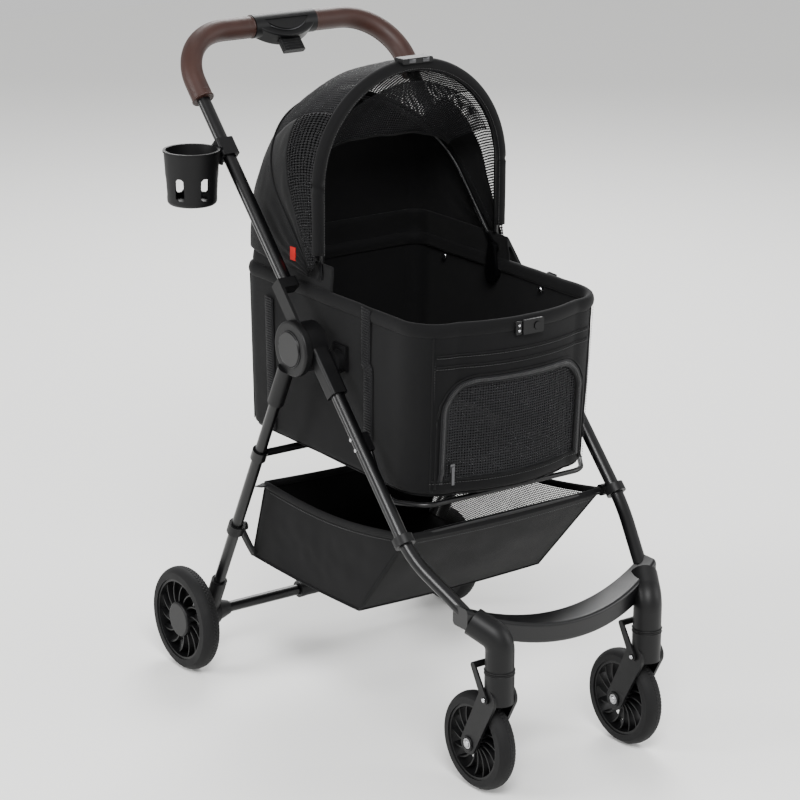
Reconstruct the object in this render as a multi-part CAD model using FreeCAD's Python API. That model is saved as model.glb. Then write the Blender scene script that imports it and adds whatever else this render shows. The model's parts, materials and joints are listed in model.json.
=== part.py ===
import FreeCAD, Part
import os
from math import cos, radians, sin, sqrt

# Pet stroller, millimetres. +Z is up, -Y is the front (castor end), X = 0 is the
# middle of the frame and z = 0 the floor. "left" is the -X side.

# ---------------------------------------------------------------- driving sizes
FRAME_HALF = 200.0        # X of the two frame tube centre lines
FRAME_ANGLE = 46.3        # slope of the handle and front legs above the floor
TUBE_W = 22.0             # oval frame tube, across the stroller
TUBE_D = 17.0             # oval frame tube, in the fold plane
TUBE_WALL = 1.5
HUB_Y = 33.0              # fold hub axis
HUB_Z = 601.0
HUB_OFFSET = 20.0         # hub axis to the tube line, square to the tube
HANDLE_REACH = 556.4      # foot of the hub on the tube line to the handle bar
HANDLE_CORNER_R = 90.0
GRIP_R = 17.0
GRIP_START = 434.7        # where the leather starts, along the tube line
HOUSING_HALF = 58.0       # half the width of the trigger housing

REAR_WHEEL_R = 85.4
REAR_WHEEL_W = 31.0
REAR_WHEEL_X = 261.0
REAR_AXLE_Y = 300.0
REAR_AXLE_X = 217.0       # X of the rear leg centre line at the axle
REAR_LEG_R = 9.0
FRONT_WHEEL_R = 75.0
FRONT_WHEEL_W = 30.0
CASTOR_X = 139.5
CASTOR_Y = -375.0
CASTOR_TRAIL = 45.0
STEM_R = 22.0
FORK_TOP_Z = 200.9
FORK_BOTTOM_Z = 152.0

CARRIER_HALF = 172.0      # outside of the carrier at the rim
CARRIER_BOTTOM_HALF = 166.0
CARRIER_FRONT_Y = -250.0
CARRIER_REAR_Y = 258.0
CARRIER_BOTTOM_Z = 417.0
CARRIER_RIM_Z = 684.0
CARRIER_WALL = 4.0
HOOD_PIVOT_Y = 45.0
HOOD_PIVOT_Z = 698.0
HOOD_HALF = 178.0         # outside half width of the front bow
HOOD_LEG = 138.0          # straight leg of the bow below its half circle
BASKET_HALF = 183.0
BASKET_WALL = 3.0
CUP_R = 43.0
CUP_H = 85.0

# ------------------------------------------------------------------- clearances
RUN_FIT = 0.06            # radial clearance of a pin that turns in its hole
SLIP = 0.2                # between fixed pieces that are pushed together
GAP = 0.5                 # between pieces that move past each other

SIDES = (("left", -1), ("right", 1))
V = FreeCAD.Vector
X_AXIS = V(1, 0, 0)
Y_AXIS = V(0, 1, 0)
Z_AXIS = V(0, 0, 1)

os.makedirs("parts", exist_ok=True)


def save(name, *solids):
    shape = solids[0] if len(solids) == 1 else Part.makeCompound(list(solids))
    if not shape.isValid():
        print("NOT VALID", name)
    shape.exportStep("parts/" + name + ".step")
    print(name, len(shape.Solids), "solid(s)", round(shape.Volume / 1000, 2), "cm3")


# ------------------------------------------------------------- frame directions
SLOPE = radians(FRAME_ANGLE)
ALONG = V(0, cos(SLOPE), sin(SLOPE))      # up the tube line, towards the handle
ACROSS = V(0, -sin(SLOPE), cos(SLOPE))    # square to it, forwards and up
HUB = V(0, HUB_Y, HUB_Z)
FOOT = HUB + ACROSS * HUB_OFFSET          # the hub's foot on the tube line
REAR_AXLE = V(0, REAR_AXLE_Y, REAR_WHEEL_R)


def on_line(distance, x=0.0, off=0.0):
    """A point this far up the tube line from the hub's foot."""
    return FOOT + ALONG * distance + ACROSS * off + V(x, 0, 0)


# ---------------------------------------------------------------- shape helpers
def cyl_x(radius, x0, x1, y, z):
    return Part.makeCylinder(radius, abs(x1 - x0), V(min(x0, x1), y, z), X_AXIS)


def rod(radius, start, end):
    return Part.makeCylinder(radius, (end - start).Length, start, end - start)


def box(x0, x1, y0, y1, z0, z1):
    corner = V(min(x0, x1), y0, z0)
    return Part.makeBox(abs(x1 - x0), y1 - y0, z1 - z0, corner)


def line_box(x0, x1, d0, d1, off0, off1):
    """A box whose length runs along the tube line."""
    block = Part.makeBox(abs(x1 - x0), d1 - d0, off1 - off0, V(min(x0, x1), d0, off0))
    block.rotate(V(0, 0, 0), X_AXIS, FRAME_ANGLE)
    block.translate(FOOT)
    return block


def mirrored(shape):
    return shape.mirror(V(0, 0, 0), X_AXIS)


def on_side(shape, side):
    """Shapes are drawn on the +X side; side -1 gives the mirror image."""
    return shape if side > 0 else mirrored(shape)


def fuse(*shapes):
    return shapes[0].multiFuse(list(shapes[1:])).removeSplitter()


def tangent_path(points, radius):
    """Straight runs through the points, joined by arcs tangent to them."""
    edges = []
    last = points[0]
    for before, corner, after in zip(points, points[1:], points[2:]):
        back = (before - corner).normalize()
        on = (after - corner).normalize()
        half = back.getAngle(on) / 2
        reach = radius / (sin(half) / cos(half))
        start = corner + back * reach
        end = corner + on * reach
        bisector = (back + on).normalize()
        middle = corner + bisector * (radius / sin(half) - radius)
        edges.append(Part.LineSegment(last, start).toShape())
        edges.append(Part.Arc(start, middle, end).toShape())
        last = end
    edges.append(Part.LineSegment(last, points[-1]).toShape())
    return Part.Wire(edges)


def oval_wire(centre, wide, width, deep, depth):
    """An ellipse: width along the direction wide, depth along deep."""
    normal = wide.cross(deep)
    ellipse = Part.Ellipse(V(0, 0, 0), width / 2, depth / 2)
    shape = Part.Wire([ellipse.toShape()])
    shape.Placement = FreeCAD.Placement(centre, FreeCAD.Rotation(wide, deep, normal, "XYZ"))
    return shape


def sweep(path, profile):
    return path.makePipeShell([profile], True, False)


def frame_tube(path, start, direction, grow=0.0):
    """The oval frame tube as a solid; grow widens it all round."""
    deep = direction.cross(X_AXIS).normalize()
    profile = oval_wire(start, X_AXIS, TUBE_W + 2 * grow, deep, TUBE_D + 2 * grow)
    return sweep(path, profile)


def round_tube(path, start, direction, radius):
    circle = Part.Wire([Part.makeCircle(radius, start, direction)])
    return sweep(path, circle)


def slab(x0, x1, c1, r1, c2, r2):
    """A plate square to X: two round ends joined by their common tangents."""
    (y1, z1), (y2, z2) = c1, c2
    span = sqrt((y2 - y1) ** 2 + (z2 - z1) ** 2)
    along = V(0, y2 - y1, z2 - z1) * (1 / span)
    tilt = (r1 - r2) / span
    rise = sqrt(1 - tilt * tilt)
    side = V(0, -along.z, along.y)
    left = along * tilt + side * rise
    right = along * tilt - side * rise
    a, b = V(x0, y1, z1), V(x0, y2, z2)
    corners = [a + left * r1, b + left * r2, b + right * r2, a + right * r1]
    face = Part.Face(Part.makePolygon(corners + corners[:1]))
    web = face.extrude(V(x1 - x0, 0, 0))
    return fuse(web, cyl_x(r1, x0, x1, y1, z1), cyl_x(r2, x0, x1, y2, z2))


# ------------------------------------------------------------------ front frame
SLEEVE_IN = FRAME_HALF - 14.0          # hub sleeves and sockets, across X
SLEEVE_OUT = FRAME_HALF + 14.0
SLEEVE_T = 12.0                        # half their thickness in the fold plane
UPPER_SLEEVE_END = 104.0
UPPER_SLEEVE_START = 88.0
UPPER_TUBE_START = 90.0
LOWER_SLEEVE_END = -98.0
LOWER_TUBE_START = -56.0
HUB_DISC_R = 38.0
HUB_PIN_R = 6.0
PLATE_IN = SLEEVE_OUT + GAP            # the handle's plate beside the hub
PLATE_OUT = PLATE_IN + 5.0
REAR_HUB_IN = PLATE_OUT + GAP
REAR_HUB_OUT = REAR_HUB_IN + 11.0
HUB_CAP_T = 2.5
CLIP_T = 4.0                           # carrier clip plate thickness
CLIP_OUT = CARRIER_HALF + CLIP_T
HOOK_R = 8.0
BOSS_R = 18.0
HOOK = on_line(-46.0, 0, 6.0)

LEG_BEND = V(FRAME_HALF, -239.4, 345.0)
LEG_END = V(166.0, -326.0, 280.0)
LEG_BEND_R = 200.0
HEM_Y = -203.0                         # basket rod in the front hem
HEM_Z = 362.0
HEM_ROD_R = 4.0

lower_start = on_line(LOWER_TUBE_START, FRAME_HALF)
leg_path = tangent_path([lower_start, LEG_BEND, LEG_END], LEG_BEND_R)
leg_solid = frame_tube(leg_path, lower_start, ALONG * -1)
leg_bore = frame_tube(leg_path, lower_start, ALONG * -1, -TUBE_WALL)
leg_room = frame_tube(leg_path, lower_start, ALONG * -1, SLIP)

for name, side in SIDES:
    save("front_leg_" + name, on_side(leg_solid.cut(leg_bore), side))


def hub_sleeve():
    """Plastic hub body: disc, sleeve over the leg tube, and the carrier's hook boss."""
    body = line_box(SLEEVE_IN, SLEEVE_OUT, LOWER_SLEEVE_END, 0, -SLEEVE_T, SLEEVE_T)
    body = body.makeFillet(5.0, [e for e in body.Edges if abs(e.tangentAt(0).dot(ALONG)) > 0.99])
    disc = cyl_x(HUB_DISC_R, SLEEVE_IN, SLEEVE_OUT, HUB_Y, HUB_Z)
    boss = cyl_x(BOSS_R, CLIP_OUT + GAP, SLEEVE_IN + 2, HOOK.y, HOOK.z)
    pin = cyl_x(HOOK_R, CARRIER_HALF + GAP, CLIP_OUT + 2, HOOK.y, HOOK.z)
    whole = fuse(body, disc, boss, pin)
    whole = whole.cut(leg_room)
    return whole.cut(cyl_x(HUB_PIN_R, SLEEVE_IN - 1, SLEEVE_OUT + 1, HUB_Y, HUB_Z))


sleeve = hub_sleeve()
save("hub_sleeves", mirrored(sleeve), sleeve)

pin = cyl_x(HUB_PIN_R, SLEEVE_IN, REAR_HUB_OUT - GAP, HUB_Y, HUB_Z)
save("hub_pins", mirrored(pin), pin)

# castor elbows: a stout swan neck from the leg's end down to the swivel
ELBOW_R = 21.5
ELBOW_TOP = V(161.0, -338.0, 271.0)
ELBOW_BEND = V(CASTOR_X, CASTOR_Y, 250.0)
ELBOW_BEND_R = 26.0
ELBOW_BOTTOM_Z = FORK_TOP_Z + GAP
KINGPIN_R = 6.0
KINGPIN_TOP_Z = 226.0

elbow_bottom = V(CASTOR_X, CASTOR_Y, ELBOW_BOTTOM_Z)
elbow_path = tangent_path([elbow_bottom, ELBOW_BEND, ELBOW_TOP], ELBOW_BEND_R)
elbow_solid = round_tube(elbow_path, elbow_bottom, Z_AXIS, ELBOW_R)
kingpin_hole = Part.makeCylinder(KINGPIN_R + RUN_FIT, KINGPIN_TOP_Z + 1 - ELBOW_BOTTOM_Z, elbow_bottom)
elbow = elbow_solid.cut(leg_room).cut(kingpin_hole)
save("castor_elbows", mirrored(elbow), elbow)

# footrest: a crescent that bows forwards and dips in the middle
FOOT_HALF = 178.0
FOOT_REAR_END, FOOT_REAR_MID = -312.0, -335.0
FOOT_FRONT_END, FOOT_FRONT_MID = -347.0, -384.0
FOOT_TOP_END, FOOT_TOP_MID = 294.0, 253.0
FOOT_LOW_END, FOOT_LOW_MID = 262.0, 222.0
FOOT_TRIM = 5.0


def arc_band(low_end, low_mid, high_end, high_mid, place):
    """A band between two arcs; place turns (x, height) into a point."""
    low = Part.Arc(place(-FOOT_HALF, low_end), place(0, low_mid), place(FOOT_HALF, low_end))
    high = Part.Arc(place(FOOT_HALF, high_end), place(0, high_mid), place(-FOOT_HALF, high_end))
    right = Part.LineSegment(place(FOOT_HALF, low_end), place(FOOT_HALF, high_end))
    left = Part.LineSegment(place(-FOOT_HALF, high_end), place(-FOOT_HALF, low_end))
    return Part.Face(Part.Wire([s.toShape() for s in (low, right, high, left)]))


def footrest():
    plan = arc_band(FOOT_FRONT_END, FOOT_FRONT_MID, FOOT_REAR_END, FOOT_REAR_MID,
                    lambda x, y: V(x, y, 150))
    front = arc_band(FOOT_LOW_END, FOOT_LOW_MID, FOOT_TOP_END, FOOT_TOP_MID,
                     lambda x, z: V(x, -500, z))
    body = plan.extrude(V(0, 0, 250)).common(front.extrude(V(0, 300, 0)))
    long_edges = [e for e in body.Edges if e.Length > FOOT_HALF * 2]
    body = body.makeFillet(FOOT_TRIM, long_edges)
    for side in (-1, 1):
        body = body.cut(on_side(leg_room, side)).cut(on_side(elbow_solid, side))
    return max(body.Solids, key=lambda s: s.Volume)


save("footrest", footrest())

# cradle: a thin steel rod that carries the carrier's front corners
CRADLE_R = 4.0
CRADLE_X = FRAME_HALF - TUBE_W / 2 - CRADLE_R - GAP
CRADLE_Z = CARRIER_BOTTOM_Z - CRADLE_R - 9.0
CRADLE_TOP = on_line(-178.0, CRADLE_X, 0)
cradle_points = [CRADLE_TOP, V(CRADLE_X, -150, CRADLE_Z), V(CRADLE_X - 38, -203, CRADLE_Z)]
cradle_points += [V(-p.x, p.y, p.z) for p in reversed(cradle_points)]
cradle_path = tangent_path(cradle_points, 34.0)
cradle_dir = cradle_points[1] - cradle_points[0]
cradle = round_tube(cradle_path, cradle_points[0], cradle_dir, CRADLE_R)
for side in (-1, 1):
    ear = line_box(CRADLE_X - 3, FRAME_HALF, -196, -166, -6, 6)
    cradle = cradle.fuse(on_side(ear.cut(leg_solid), side))
save("carrier_cradle", cradle.removeSplitter())

# basket hem rod and the ring brackets that hold it to the front legs
hem_rod = cyl_x(HEM_ROD_R, -FRAME_HALF + 3, FRAME_HALF - 3, HEM_Y, HEM_Z)
RING_DISTANCE = -345.0


def front_bracket():
    ring = rod(16.0, on_line(RING_DISTANCE - 7, FRAME_HALF), on_line(RING_DISTANCE + 7, FRAME_HALF))
    lug = cyl_x(9.0, FRAME_HALF - 15, FRAME_HALF, HEM_Y, HEM_Z)
    return fuse(ring, lug).cut(leg_room).cut(hem_rod)


bracket = max(front_bracket().Solids, key=lambda s: s.Volume)
hem_rod = hem_rod.cut(leg_solid).cut(mirrored(leg_solid))
save("basket_rod", max(hem_rod.Solids, key=lambda s: s.Volume))
save("front_brackets", mirrored(bracket), bracket)

# basket: front hem on the rod, floor slung back towards the rear legs
BASKET_PROFILE = [(HEM_Y + 12, HEM_Z + 1), (-68, 200), (232, 194), (180, 334)]


def prism(points, half):
    corners = [V(-half, y, z) for y, z in points]
    return Part.Face(Part.makePolygon(corners + corners[:1])).extrude(V(2 * half, 0, 0))


def basket():
    (y0, z0), (y1, z1), (y2, z2), (y3, z3) = BASKET_PROFILE
    w = BASKET_WALL
    inner = [(y0 + 1.4 * w, z0 + 20), (y1 + 0.6 * w, z1 + w), (y2 - 1.4 * w, z2 + w), (y3 - w, z3 + 20)]
    return prism(BASKET_PROFILE, BASKET_HALF).cut(prism(inner, BASKET_HALF - w))


save("basket", basket())

# rivets: domed heads on the outer side of each leg, over the cradle's ears
RIVET_R = 2.8
RIVET_H = 1.4
RIVET_DISTANCES = (-172.0, -190.0)


def rivet(distance, side):
    face = FRAME_HALF + TUBE_W / 2
    point = on_line(distance, face - 0.6)
    head = Part.makeCylinder(RIVET_R, RIVET_H + 0.6, point, X_AXIS)
    return on_side(head.cut(leg_solid), side)


save("frame_rivets", *[rivet(d, side) for _, side in SIDES for d in RIVET_DISTANCES])

# ----------------------------------------------------------------------- handle
bar_points = [on_line(UPPER_TUBE_START, -FRAME_HALF), on_line(HANDLE_REACH, -FRAME_HALF),
              on_line(HANDLE_REACH, FRAME_HALF), on_line(UPPER_TUBE_START, FRAME_HALF)]
handle_path = tangent_path(bar_points, HANDLE_CORNER_R)


def handle_loop(grow=0.0):
    profile = oval_wire(bar_points[0], X_AXIS, TUBE_W + 2 * grow, ACROSS, TUBE_D + 2 * grow)
    return sweep(handle_path, profile)


handle_solid = handle_loop()
handle_room = handle_loop(SLIP)
save("handle_tube", handle_solid.cut(handle_loop(-TUBE_WALL)))


def grip():
    """Leather sleeve from the arm, round the corner, to the housing."""
    points = [on_line(GRIP_START, FRAME_HALF), on_line(HANDLE_REACH, FRAME_HALF),
              on_line(HANDLE_REACH, HOUSING_HALF + GAP)]
    path = tangent_path(points, HANDLE_CORNER_R)
    return round_tube(path, points[0], ALONG, GRIP_R).cut(handle_room)


grip_solid = grip()
for name, side in SIDES:
    save("grip_" + name, on_side(grip_solid, side))

# trigger housing: a tube cover with a lens-shaped belly below the bar
HOUSING_R = 19.0
BELLY_R = 78.0
BELLY_DROP = 33.0          # how far the belly hangs below the bar's centre line
BELLY_HALF_T = 14.0
BUTTON_R = 50.0
BUTTON_TOP = 2.0           # flat edge of the half-moon button, below the bar
BUTTON_LOW = 22.0
BUTTON_T = 3.0
TRIGGER_HALF = 20.0
TRIGGER_T = 10.0
TRIGGER_TIP = 54.0
TRIGGER_TRAVEL = 6.0


def bar_disc(radius, below, off0, off1):
    """A disc lying in the handle plane whose lowest point is this far below the bar."""
    centre = on_line(HANDLE_REACH - below + radius, 0, off0)
    return Part.makeCylinder(radius, off1 - off0, centre, ACROSS)


def bar_box(half, low, high, off0, off1):
    """A box in the handle plane between two depths below the bar."""
    return line_box(-half, half, HANDLE_REACH - low, HANDLE_REACH - high, off0, off1)


def moon(radius, low, top, off0, off1):
    disc = bar_disc(radius, low, off0, off1)
    return disc.common(bar_box(radius, low + 1, top, off0 - 1, off1 + 1))


def housing():
    tube = rod(HOUSING_R, on_line(HANDLE_REACH, -HOUSING_HALF), on_line(HANDLE_REACH, HOUSING_HALF))
    belly = moon(BELLY_R, BELLY_DROP, 0, -BELLY_HALF_T, BELLY_HALF_T)
    belly = belly.common(bar_box(HOUSING_HALF - 2, BELLY_DROP + 1, -1, -20, 20))
    belly = belly.Solids[0]
    belly = belly.makeFillet(3.0, [e for e in belly.Edges if isinstance(e.Curve, Part.Circle)])
    body = fuse(tube, belly).cut(handle_room)
    recess = moon(BUTTON_R + GAP, BUTTON_LOW + GAP, BUTTON_TOP - GAP, BELLY_HALF_T - 4.5, 30)
    slot = bar_box(TRIGGER_HALF + GAP, BELLY_DROP + 1, 13.0, -TRIGGER_T / 2 - GAP, TRIGGER_T / 2 + GAP)
    return body.cut(recess).cut(slot)


save("handle_housing", housing())

button = moon(BUTTON_R, BUTTON_LOW, BUTTON_TOP, BELLY_HALF_T - 1.0, BELLY_HALF_T - 1.0 + BUTTON_T + 2)
save("lock_button", button)

trigger = bar_box(TRIGGER_HALF, TRIGGER_TIP, 13.0 + TRIGGER_TRAVEL + 1, -TRIGGER_T / 2, TRIGGER_T / 2)
trigger = trigger.makeFillet(3.0, [e for e in trigger.Edges if abs(e.tangentAt(0).dot(ALONG)) > 0.99])
save("fold_trigger", trigger)


def handle_sleeve():
    """Socket on the handle tube, plate beside the hub, and a spigot up the tube."""
    socket = line_box(SLEEVE_IN, PLATE_OUT, UPPER_SLEEVE_START, UPPER_SLEEVE_END, -SLEEVE_T, SLEEVE_T)
    plate = line_box(PLATE_IN, PLATE_OUT, 0, UPPER_SLEEVE_START + 1, -SLEEVE_T, SLEEVE_T)
    disc = cyl_x(HUB_DISC_R, PLATE_IN, PLATE_OUT, HUB_Y, HUB_Z)
    whole = fuse(socket, plate, disc)
    short_ends = [e for e in whole.Edges if abs(e.tangentAt(0).dot(ALONG)) > 0.99 and e.Length < 30]
    whole = whole.makeFillet(4.0, short_ends)
    whole = whole.cut(handle_room)
    return whole.cut(cyl_x(HUB_PIN_R + RUN_FIT, PLATE_IN - 1, PLATE_OUT + 1, HUB_Y, HUB_Z))


upper_sleeve = handle_sleeve()
save("handle_sleeves", mirrored(upper_sleeve), upper_sleeve)

# cup holder on the left arm
CUP_X, CUP_Y = -262.0, 255.0
CUP_TOP_Z = 870.0
CUP_WALL = 3.0
CUP_FOOT_R = 38.0
CUP_FOOT_ROUND = 7.0
CUP_LIP = 1.2
CUP_WINDOWS = 6
WINDOW_HALF = 7.5
WINDOW_LOW = 11.0          # above the cup's foot
WINDOW_HIGH = 46.0
WINDOW_CHAMFER = 4.0
CLAMP_DISTANCE = (CUP_Y - FOOT.y) / cos(SLOPE)
CLAMP_HALF = 15.0
PAD_X = CUP_X + CUP_R + 2.0


def cup_clamp():
    ring = line_box(-FRAME_HALF - 17, -FRAME_HALF + 14, CLAMP_DISTANCE - CLAMP_HALF,
                    CLAMP_DISTANCE + CLAMP_HALF, -13, 13)
    ring = ring.makeFillet(4.0, [e for e in ring.Edges if abs(e.tangentAt(0).dot(ALONG)) > 0.99])
    centre_z = on_line(CLAMP_DISTANCE).z
    pad = box(-FRAME_HALF - 14, PAD_X, CUP_Y - 14, CUP_Y + 14, centre_z - 20, centre_z + 8)
    return fuse(ring, pad).cut(handle_room)


def cup_holder():
    foot = V(CUP_X, CUP_Y, CUP_TOP_Z - CUP_H)
    outer = Part.makeCone(CUP_FOOT_R, CUP_R, CUP_H, foot)
    rims = [e for e in outer.Edges if e.BoundBox.ZMax < foot.z + 1 and e.Length > CUP_FOOT_R]
    outer = outer.makeFillet(CUP_FOOT_ROUND, rims)
    inner = Part.makeCone(CUP_FOOT_R - CUP_WALL, CUP_R - CUP_WALL, CUP_H, foot + V(0, 0, CUP_WALL))
    pad_z = on_line(CLAMP_DISTANCE).z
    pad = box(CUP_X + CUP_R - 8, PAD_X, CUP_Y - 11, CUP_Y + 11, pad_z - 18, pad_z + 6)
    lip = Part.makeCylinder(CUP_R + CUP_LIP, 3.0, V(CUP_X, CUP_Y, CUP_TOP_Z - 3))
    cup = fuse(outer, pad, lip).cut(inner)
    for number in range(CUP_WINDOWS):
        window = box(CUP_R / 2, CUP_R * 1.5, -WINDOW_HALF, WINDOW_HALF,
                     foot.z + WINDOW_LOW, foot.z + WINDOW_HIGH)
        corners = [e for e in window.Edges if abs(e.tangentAt(0).x) > 0.9]
        window = window.makeChamfer(WINDOW_CHAMFER, corners)
        window.rotate(V(0, 0, 0), Z_AXIS, 30 + 360 / CUP_WINDOWS * number)
        window.translate(V(CUP_X, CUP_Y, 0))
        cup = cup.cut(window)
    return cup


save("cup_clamp", cup_clamp())
save("cup_holder", cup_holder())

# ------------------------------------------------------------------- rear frame
LEG_TOP = V((REAR_HUB_IN + REAR_HUB_OUT) / 2, HUB_Y, HUB_Z)
LEG_FOOT = V(REAR_AXLE_X, REAR_AXLE_Y, REAR_WHEEL_R)
LEG_LONG = (LEG_FOOT - LEG_TOP).Length
LEG_DIR = (LEG_FOOT - LEG_TOP).normalize()
REAR_HUB_R = 43.0
REAR_ARM_END = 110.0
REAR_ARM_R = 13.0
HOUSE_R = 21.0
HOUSE_IN = REAR_AXLE_X - 12.0
HOUSE_OUT = REAR_WHEEL_X - REAR_WHEEL_W / 2 - 7.0
SOCKET_R = 13.0
SOCKET_TOP = LEG_LONG - 76.0
AXLE_R = 9.0
STUB_R = 5.0
WHEEL_HUB_OUT = REAR_WHEEL_X + 10.0


def on_leg(distance):
    return LEG_TOP + LEG_DIR * distance


leg_tube = rod(REAR_LEG_R, on_leg(60), on_leg(LEG_LONG - 24))
leg_inner = rod(REAR_LEG_R - TUBE_WALL, on_leg(60), on_leg(LEG_LONG - 24))
leg_slip = rod(REAR_LEG_R + SLIP, on_leg(59), on_leg(LEG_LONG - 23))
for name, side in SIDES:
    save("rear_leg_" + name, on_side(leg_tube.cut(leg_inner), side))


def rear_hub():
    disc = cyl_x(REAR_HUB_R, REAR_HUB_IN, REAR_HUB_OUT, HUB_Y, HUB_Z)
    disc = disc.makeFillet(4.0, [e for e in disc.Edges if abs(e.BoundBox.XMin - REAR_HUB_OUT) < 0.01])
    arm = rod(REAR_ARM_R, on_leg(REAR_HUB_R - 4), on_leg(REAR_ARM_END))
    neck = rod(5.4, on_leg(20), on_leg(REAR_HUB_R + 4))
    whole = fuse(disc, neck, arm.cut(cyl_x(REAR_HUB_R - 4, 150, REAR_HUB_IN, HUB_Y, HUB_Z)))
    pin_hole = cyl_x(HUB_PIN_R + RUN_FIT, REAR_HUB_IN - 1, REAR_HUB_OUT + 1, HUB_Y, HUB_Z)
    return whole.cut(pin_hole).cut(leg_slip)


rear_hub_solid = rear_hub()
save("rear_hubs", mirrored(rear_hub_solid), rear_hub_solid)

cap = cyl_x(27.0, REAR_HUB_OUT, REAR_HUB_OUT + HUB_CAP_T, HUB_Y, HUB_Z)
cap = cap.makeFillet(1.5, [e for e in cap.Edges if abs(e.BoundBox.XMin - REAR_HUB_OUT - HUB_CAP_T) < 0.01])
save("hub_caps", mirrored(cap), cap)

# crossbar between the rear legs, under the carrier
CROSSBAR_R = 6.0
CROSSBAR_Z = 405.0
CROSSBAR_DISTANCE = (HUB_Z - CROSSBAR_Z) / -LEG_DIR.z
crossbar_at = on_leg(CROSSBAR_DISTANCE)
crossbar = cyl_x(CROSSBAR_R, -crossbar_at.x, crossbar_at.x, crossbar_at.y, crossbar_at.z)
collar = rod(REAR_LEG_R + 3.5, on_leg(CROSSBAR_DISTANCE - 9), on_leg(CROSSBAR_DISTANCE + 9))
crossbar = fuse(crossbar, collar, mirrored(collar)).cut(leg_slip).cut(mirrored(leg_slip))
save("rear_crossbar", max(crossbar.Solids, key=lambda s: s.Volume))


def axle_housing():
    drum = cyl_x(HOUSE_R, HOUSE_IN, HOUSE_OUT, REAR_AXLE_Y, REAR_WHEEL_R)
    socket = rod(SOCKET_R, on_leg(SOCKET_TOP), on_leg(LEG_LONG))
    cone = Part.makeCone(AXLE_R + 2.5, HOUSE_R - 2, 24, V(HOUSE_IN - 24, REAR_AXLE_Y, REAR_WHEEL_R), X_AXIS)
    whole = fuse(drum, socket, cone)
    stub_hole = cyl_x(STUB_R, REAR_AXLE_X - 8, HOUSE_OUT + 1, REAR_AXLE_Y, REAR_WHEEL_R)
    axle_hole = cyl_x(AXLE_R + SLIP, HOUSE_IN - 30, REAR_AXLE_X - 8.5, REAR_AXLE_Y, REAR_WHEEL_R)
    return whole.cut(leg_slip).cut(stub_hole).cut(axle_hole)


house = axle_housing()
save("axle_housings", mirrored(house), house)

axle_end = REAR_AXLE_X - 10.0
axle = cyl_x(AXLE_R, -axle_end, axle_end, REAR_AXLE_Y, REAR_WHEEL_R)
axle = axle.cut(cyl_x(AXLE_R - TUBE_WALL, -axle_end, axle_end, REAR_AXLE_Y, REAR_WHEEL_R))
save("axle_tube", axle)

stub = cyl_x(STUB_R, REAR_AXLE_X - 8, WHEEL_HUB_OUT + 3, REAR_AXLE_Y, REAR_WHEEL_R)
stub = stub.cut(leg_tube)
stub = max(stub.Solids, key=lambda s: s.Volume)
save("wheel_axles", mirrored(stub), stub)

RING_ON_LEG = 384.0


def rear_ring():
    """Ring on the rear leg that the basket's rear strap is sewn through."""
    ring = rod(REAR_LEG_R + 4.5, on_leg(RING_ON_LEG - 9), on_leg(RING_ON_LEG + 9))
    at = on_leg(RING_ON_LEG)
    eye = cyl_x(7.0, at.x - 19, at.x, at.y, at.z)
    return fuse(ring, eye).cut(leg_slip)


ring = max(rear_ring().Solids, key=lambda s: s.Volume)
save("rear_rings", mirrored(ring), ring)

# brake: a saddle on the axle tube and the pedal that turns on it
PEDAL_HALF = 34.0
SADDLE_IN = PEDAL_HALF + GAP
SADDLE_OUT = SADDLE_IN + 9.0
PEDAL_REACH = 50.0
PEDAL_T = 9.0
PEDAL_ROUND = 8.0
PEDAL_TILT = 16.0
axle_room = cyl_x(AXLE_R + SLIP, -60, 60, REAR_AXLE_Y, REAR_WHEEL_R)
pedal_room = cyl_x(AXLE_R + RUN_FIT, -60, 60, REAR_AXLE_Y, REAR_WHEEL_R)
cheek = cyl_x(AXLE_R + 5, SADDLE_IN, SADDLE_OUT, REAR_AXLE_Y, REAR_WHEEL_R).cut(axle_room)
save("brake_brackets", mirrored(cheek), cheek)


def brake_pedal():
    boss = cyl_x(AXLE_R + 4.5, -PEDAL_HALF, PEDAL_HALF, REAR_AXLE_Y, REAR_WHEEL_R)
    tread = Part.makeBox(PEDAL_HALF * 2, PEDAL_REACH, PEDAL_T, V(-PEDAL_HALF, 6, 1))
    corners = [e for e in tread.Edges if abs(e.tangentAt(0).z) > 0.9 and e.BoundBox.YMin > 20]
    tread = tread.makeFillet(PEDAL_ROUND, corners)
    tread.rotate(V(0, 0, 0), X_AXIS, PEDAL_TILT)
    tread.translate(REAR_AXLE)
    return fuse(boss, tread).cut(pedal_room)


save("brake_pedal", brake_pedal())

# ------------------------------------------------------------------ road wheels
def wheel_profile(x0, x1, r0, r1, crown):
    """A ring section, rounded at its outer corners, ready to turn about X."""
    points = [V(x0, 0, r0), V(x1, 0, r0), V(x1, 0, r1 - crown), V(x0, 0, r1 - crown)]
    bottom = Part.LineSegment(points[0], points[1]).toShape()
    right = Part.LineSegment(points[1], points[2]).toShape()
    left = Part.LineSegment(points[3], points[0]).toShape()
    top = Part.Arc(points[2], V((x0 + x1) / 2, 0, r1), points[3]).toShape()
    return Part.Face(Part.Wire([bottom, right, top, left]))


def tyre(x, y, z, width, r_in, r_out):
    face = wheel_profile(x - width / 2, x + width / 2, r_in, r_out, 7.5)
    solid = face.revolve(V(0, 0, 0), X_AXIS, 360)
    solid = solid.makeFillet(2.0, [e for e in solid.Edges if abs(e.BoundBox.ZMax - (r_out - 7.5)) < 0.5])
    solid.translate(V(0, y, z))
    return solid


SPOKE_T = 2.4
SPOKE_LEAN = 24.0          # degrees that a spoke leans over by the time it meets the rim
SPOKE_INSET = 6.0          # spokes are this much narrower than the tyre on each side


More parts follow.
